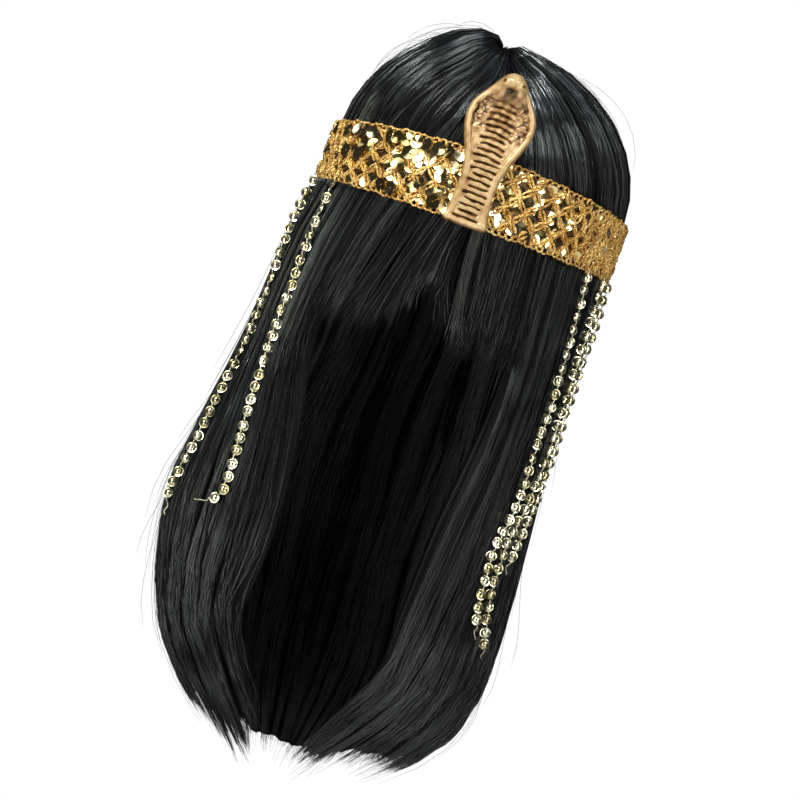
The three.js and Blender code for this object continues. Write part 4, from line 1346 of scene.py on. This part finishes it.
# %% Strings
draw = np.random.default_rng(81)
cup = sequin("string_sequin", radii=[0.2, 1.1, 2.0, 2.8, 3.3], heights=[1.9, 1.7, 1.1, 0.25, 0.35])
for name in STRINGS:
    line, tail = string_line(name)
    outward = unit(line * [1, 1, 0])
    count = int((len(line) * LINE_STEP - tail) / CUP_PITCH)
    at = (np.arange(count) + CUP_FIRST) * CUP_PITCH / LINE_STEP
    at = np.clip((at + draw.normal(0, 0.6, at.size)).astype(int), 0, len(line) - 1)
    upper = 1 - at / len(line)
    facing = unit(outward[at] + FACE_FRONT)
    tip = np.radians(draw.normal(9, 9, at.size))
    roll = np.radians(draw.normal(0, 9, at.size) + draw.normal(0, 24, at.size) * upper)
    turns = facing_turns(facing, draw.uniform(0, 6.3, at.size), tip, roll)
    points, faces = copies(cup, line[at], turns)
    shade = np.repeat(draw.random(at.size), len(cup.data.vertices))
    cups = joined_mesh(name + "_cups", points, faces, {"shade": shade})
    smooth_but_edges(cups, 40)
    settle(cups, "pale_gold_sequins", STRING_SEQUIN, name)
    wave = 0.9 * np.cos(2 * math.pi * np.arange(len(line)) * LINE_STEP / CUP_PITCH)
    thread = line + wave[:, None] * outward
    points, faces = tubes(twisted(thread[::2], outward[::2]), THREAD_RADIUS, 4, outward[::2])
    settle(joined_mesh(name + "_thread", points, faces), "pale_gold_sequins", STRING_THREAD, name)
bpy.data.objects.remove(cup)

# %% [markdown]
# ## Stage, light and camera
# The wig is shown on plain white, tilted to one side. A grey floor lies below it, out of the front
# picture, and throws a little light back up.

# %% Floor
FLOOR_Z = -640.0
deselect_all()
below_wig = (0, 0, FLOOR_Z * MM)
bpy.ops.mesh.primitive_circle_add(vertices=96, radius=0.6, fill_type="NGON", location=below_wig)
floor = bpy.context.object
floor.name = "floor"
sheet, tree = new_finish("grey_paper")
shade_with(tree, {"Base Color": paint("#b4b4b4"), "Roughness": 0.9}, {})
floor.data.materials.append(sheet)
print("floor at", FLOOR_Z, "mm")

# %% [markdown]
# The white is only seen by the camera. The light itself comes from soft boxes and a dim surround, so
# that the hair keeps its black and the sequins have dark and bright things to mirror. The surround
# has a bright wall at the left, towards the front, a dim one at the right, and a faint sky.

# %% Surround
scene = bpy.context.scene
world = bpy.data.worlds.new("studio")
scene.world = world
world.use_nodes = True
tree = world.node_tree
tree.nodes.clear()
ray = add_node(tree, "ShaderNodeLightPath")
place = add_node(tree, "ShaderNodeTexCoord")
split = add_node(tree, "ShaderNodeSeparateXYZ", {}, {"Vector": place.outputs["Generated"]})
left = add_node(tree, "ShaderNodeMapRange", {1: -0.6, 2: -0.2, 3: 4.6, 4: 0.0}, {0: split.outputs["X"]})
right = add_node(tree, "ShaderNodeMapRange", {1: 0.45, 2: 0.8, 3: 0.0, 4: 0.35}, {0: split.outputs["X"]})
above = add_node(tree, "ShaderNodeMapRange", {1: 0.5, 2: 0.9, 3: 0.032, 4: 0.06}, {0: split.outputs["Z"]})
height = add_node(tree, "ShaderNodeMath", {"operation": "SUBTRACT", 1: 0.54}, {0: split.outputs["Z"]})
apart = add_node(tree, "ShaderNodeMath", {"operation": "ABSOLUTE"}, {0: height})
panel = add_node(tree, "ShaderNodeMapRange", {1: 0.14, 2: 0.3, 3: 1.0, 4: 0.0}, {0: apart})
front = add_node(tree, "ShaderNodeMapRange", {1: -0.45, 2: -0.1, 3: 1.0, 4: 0.0}, {0: split.outputs["Y"]})
ahead = add_node(tree, "ShaderNodeMath", {"operation": "MULTIPLY"}, {0: left, 1: front})
sides = add_node(tree, "ShaderNodeMath", {"operation": "ADD"}, {0: ahead, 1: right})
walls = add_node(tree, "ShaderNodeMath", {"operation": "MULTIPLY"}, {0: sides, 1: panel})
level = add_node(tree, "ShaderNodeMath", {"operation": "ADD"}, {0: walls, 1: above})
dim = add_node(tree, "ShaderNodeBackground", {"Color": (0.95, 0.98, 1.0, 1.0)}, {"Strength": level})
white = add_node(tree, "ShaderNodeBackground", {"Color": (1, 1, 1, 1), "Strength": 1.0})
both = add_node(tree, "ShaderNodeMixShader", {}, {0: ray.outputs["Is Camera Ray"], 1: dim, 2: white})
add_node(tree, "ShaderNodeOutputWorld", {}, {"Surface": both})
print(len(tree.nodes), "nodes of the surround")

# %% [markdown]
# A large box high on the left is the main light. The others are weaker: one at the right, fills from
# the front, and two low ones that lift the ends of the hair as light from a pale floor would.

# %% Lights
LIGHTS_AIM = np.array([0, 0, -0.2])
LIGHTS = {
    "key_box": {"at": (-1.6, -1.45, 1.9), "size": 0.9, "watts": 145.0, "colour": "#fbfcff"},
    "fill_box": {"at": (1.6, -2.0, 0.1), "size": 0.9, "watts": 12.0, "colour": "#fffaf2"},
    "top_box": {"at": (0.3, -0.3, 1.6), "size": 0.7, "watts": 3.0, "colour": "#f4f8ff"},
    "right_box": {"at": (1.2, -1.3, 1.3), "size": 1.0, "watts": 40.0, "colour": "#fbfcff"},
    "left_box": {"at": (-1.6, -1.9, -0.2), "size": 0.8, "watts": 12.0, "colour": "#fcfff0"},
    "left_bounce": {"at": (-1.0, -1.6, -1.2), "size": 1.4, "watts": 24.0, "colour": "#ffffff"},
    "right_bounce": {"at": (1.1, -1.5, -1.15), "size": 1.4, "watts": 25.0, "colour": "#ffffff"},
}
for name, light in LIGHTS.items():
    lamp = bpy.data.lights.new(name, "AREA")
    lamp.size = light["size"]
    lamp.energy = light["watts"]
    lamp.color = paint(light["colour"])[:3]
    box = bpy.data.objects.new(name, lamp)
    box.location = light["at"]
    aim = LIGHTS_AIM - np.array(light["at"])
    pitch = math.pi / 2 + math.atan2(aim[2], math.hypot(aim[0], aim[1]))
    box.rotation_euler = (pitch, 0, math.atan2(aim[1], aim[0]) - math.pi / 2)
    scene.collection.objects.link(box)
print(len(LIGHTS), "lights")

# %% [markdown]
# The camera stands far off with a long lens, which keeps the wig's proportions. It is rolled, which
# tilts the wig in the picture while it stands upright in its frame.

# %% Camera
CAMERA_DISTANCE = 2500.0
CAMERA_X = 0.2
CAMERA_Z = -212.8
CAMERA_ROLL = 20.0
FRAME_WIDTH = 480.0
FRAME_Y = -20.0
SENSOR = 36.0
lens = bpy.data.cameras.new("camera")
lens.sensor_width = SENSOR
lens.lens = SENSOR * (CAMERA_DISTANCE + FRAME_Y) / FRAME_WIDTH
camera = bpy.data.objects.new("camera", lens)
camera.location = (CAMERA_X * MM, -CAMERA_DISTANCE * MM, CAMERA_Z * MM)
camera.rotation_euler = (math.pi / 2, math.radians(-CAMERA_ROLL), 0)
scene.collection.objects.link(camera)
scene.camera = camera
scene.view_settings.view_transform = "Standard"
print("lens", round(lens.lens), "mm")

# %% [markdown]
# ## Triangles
# Last, the triangles of all the meshes in the scene are counted.

# %% Triangles
total = sum(len(piece.data.loop_triangles) for piece in scene.objects if piece.type == "MESH")
print(total, "triangles in all")
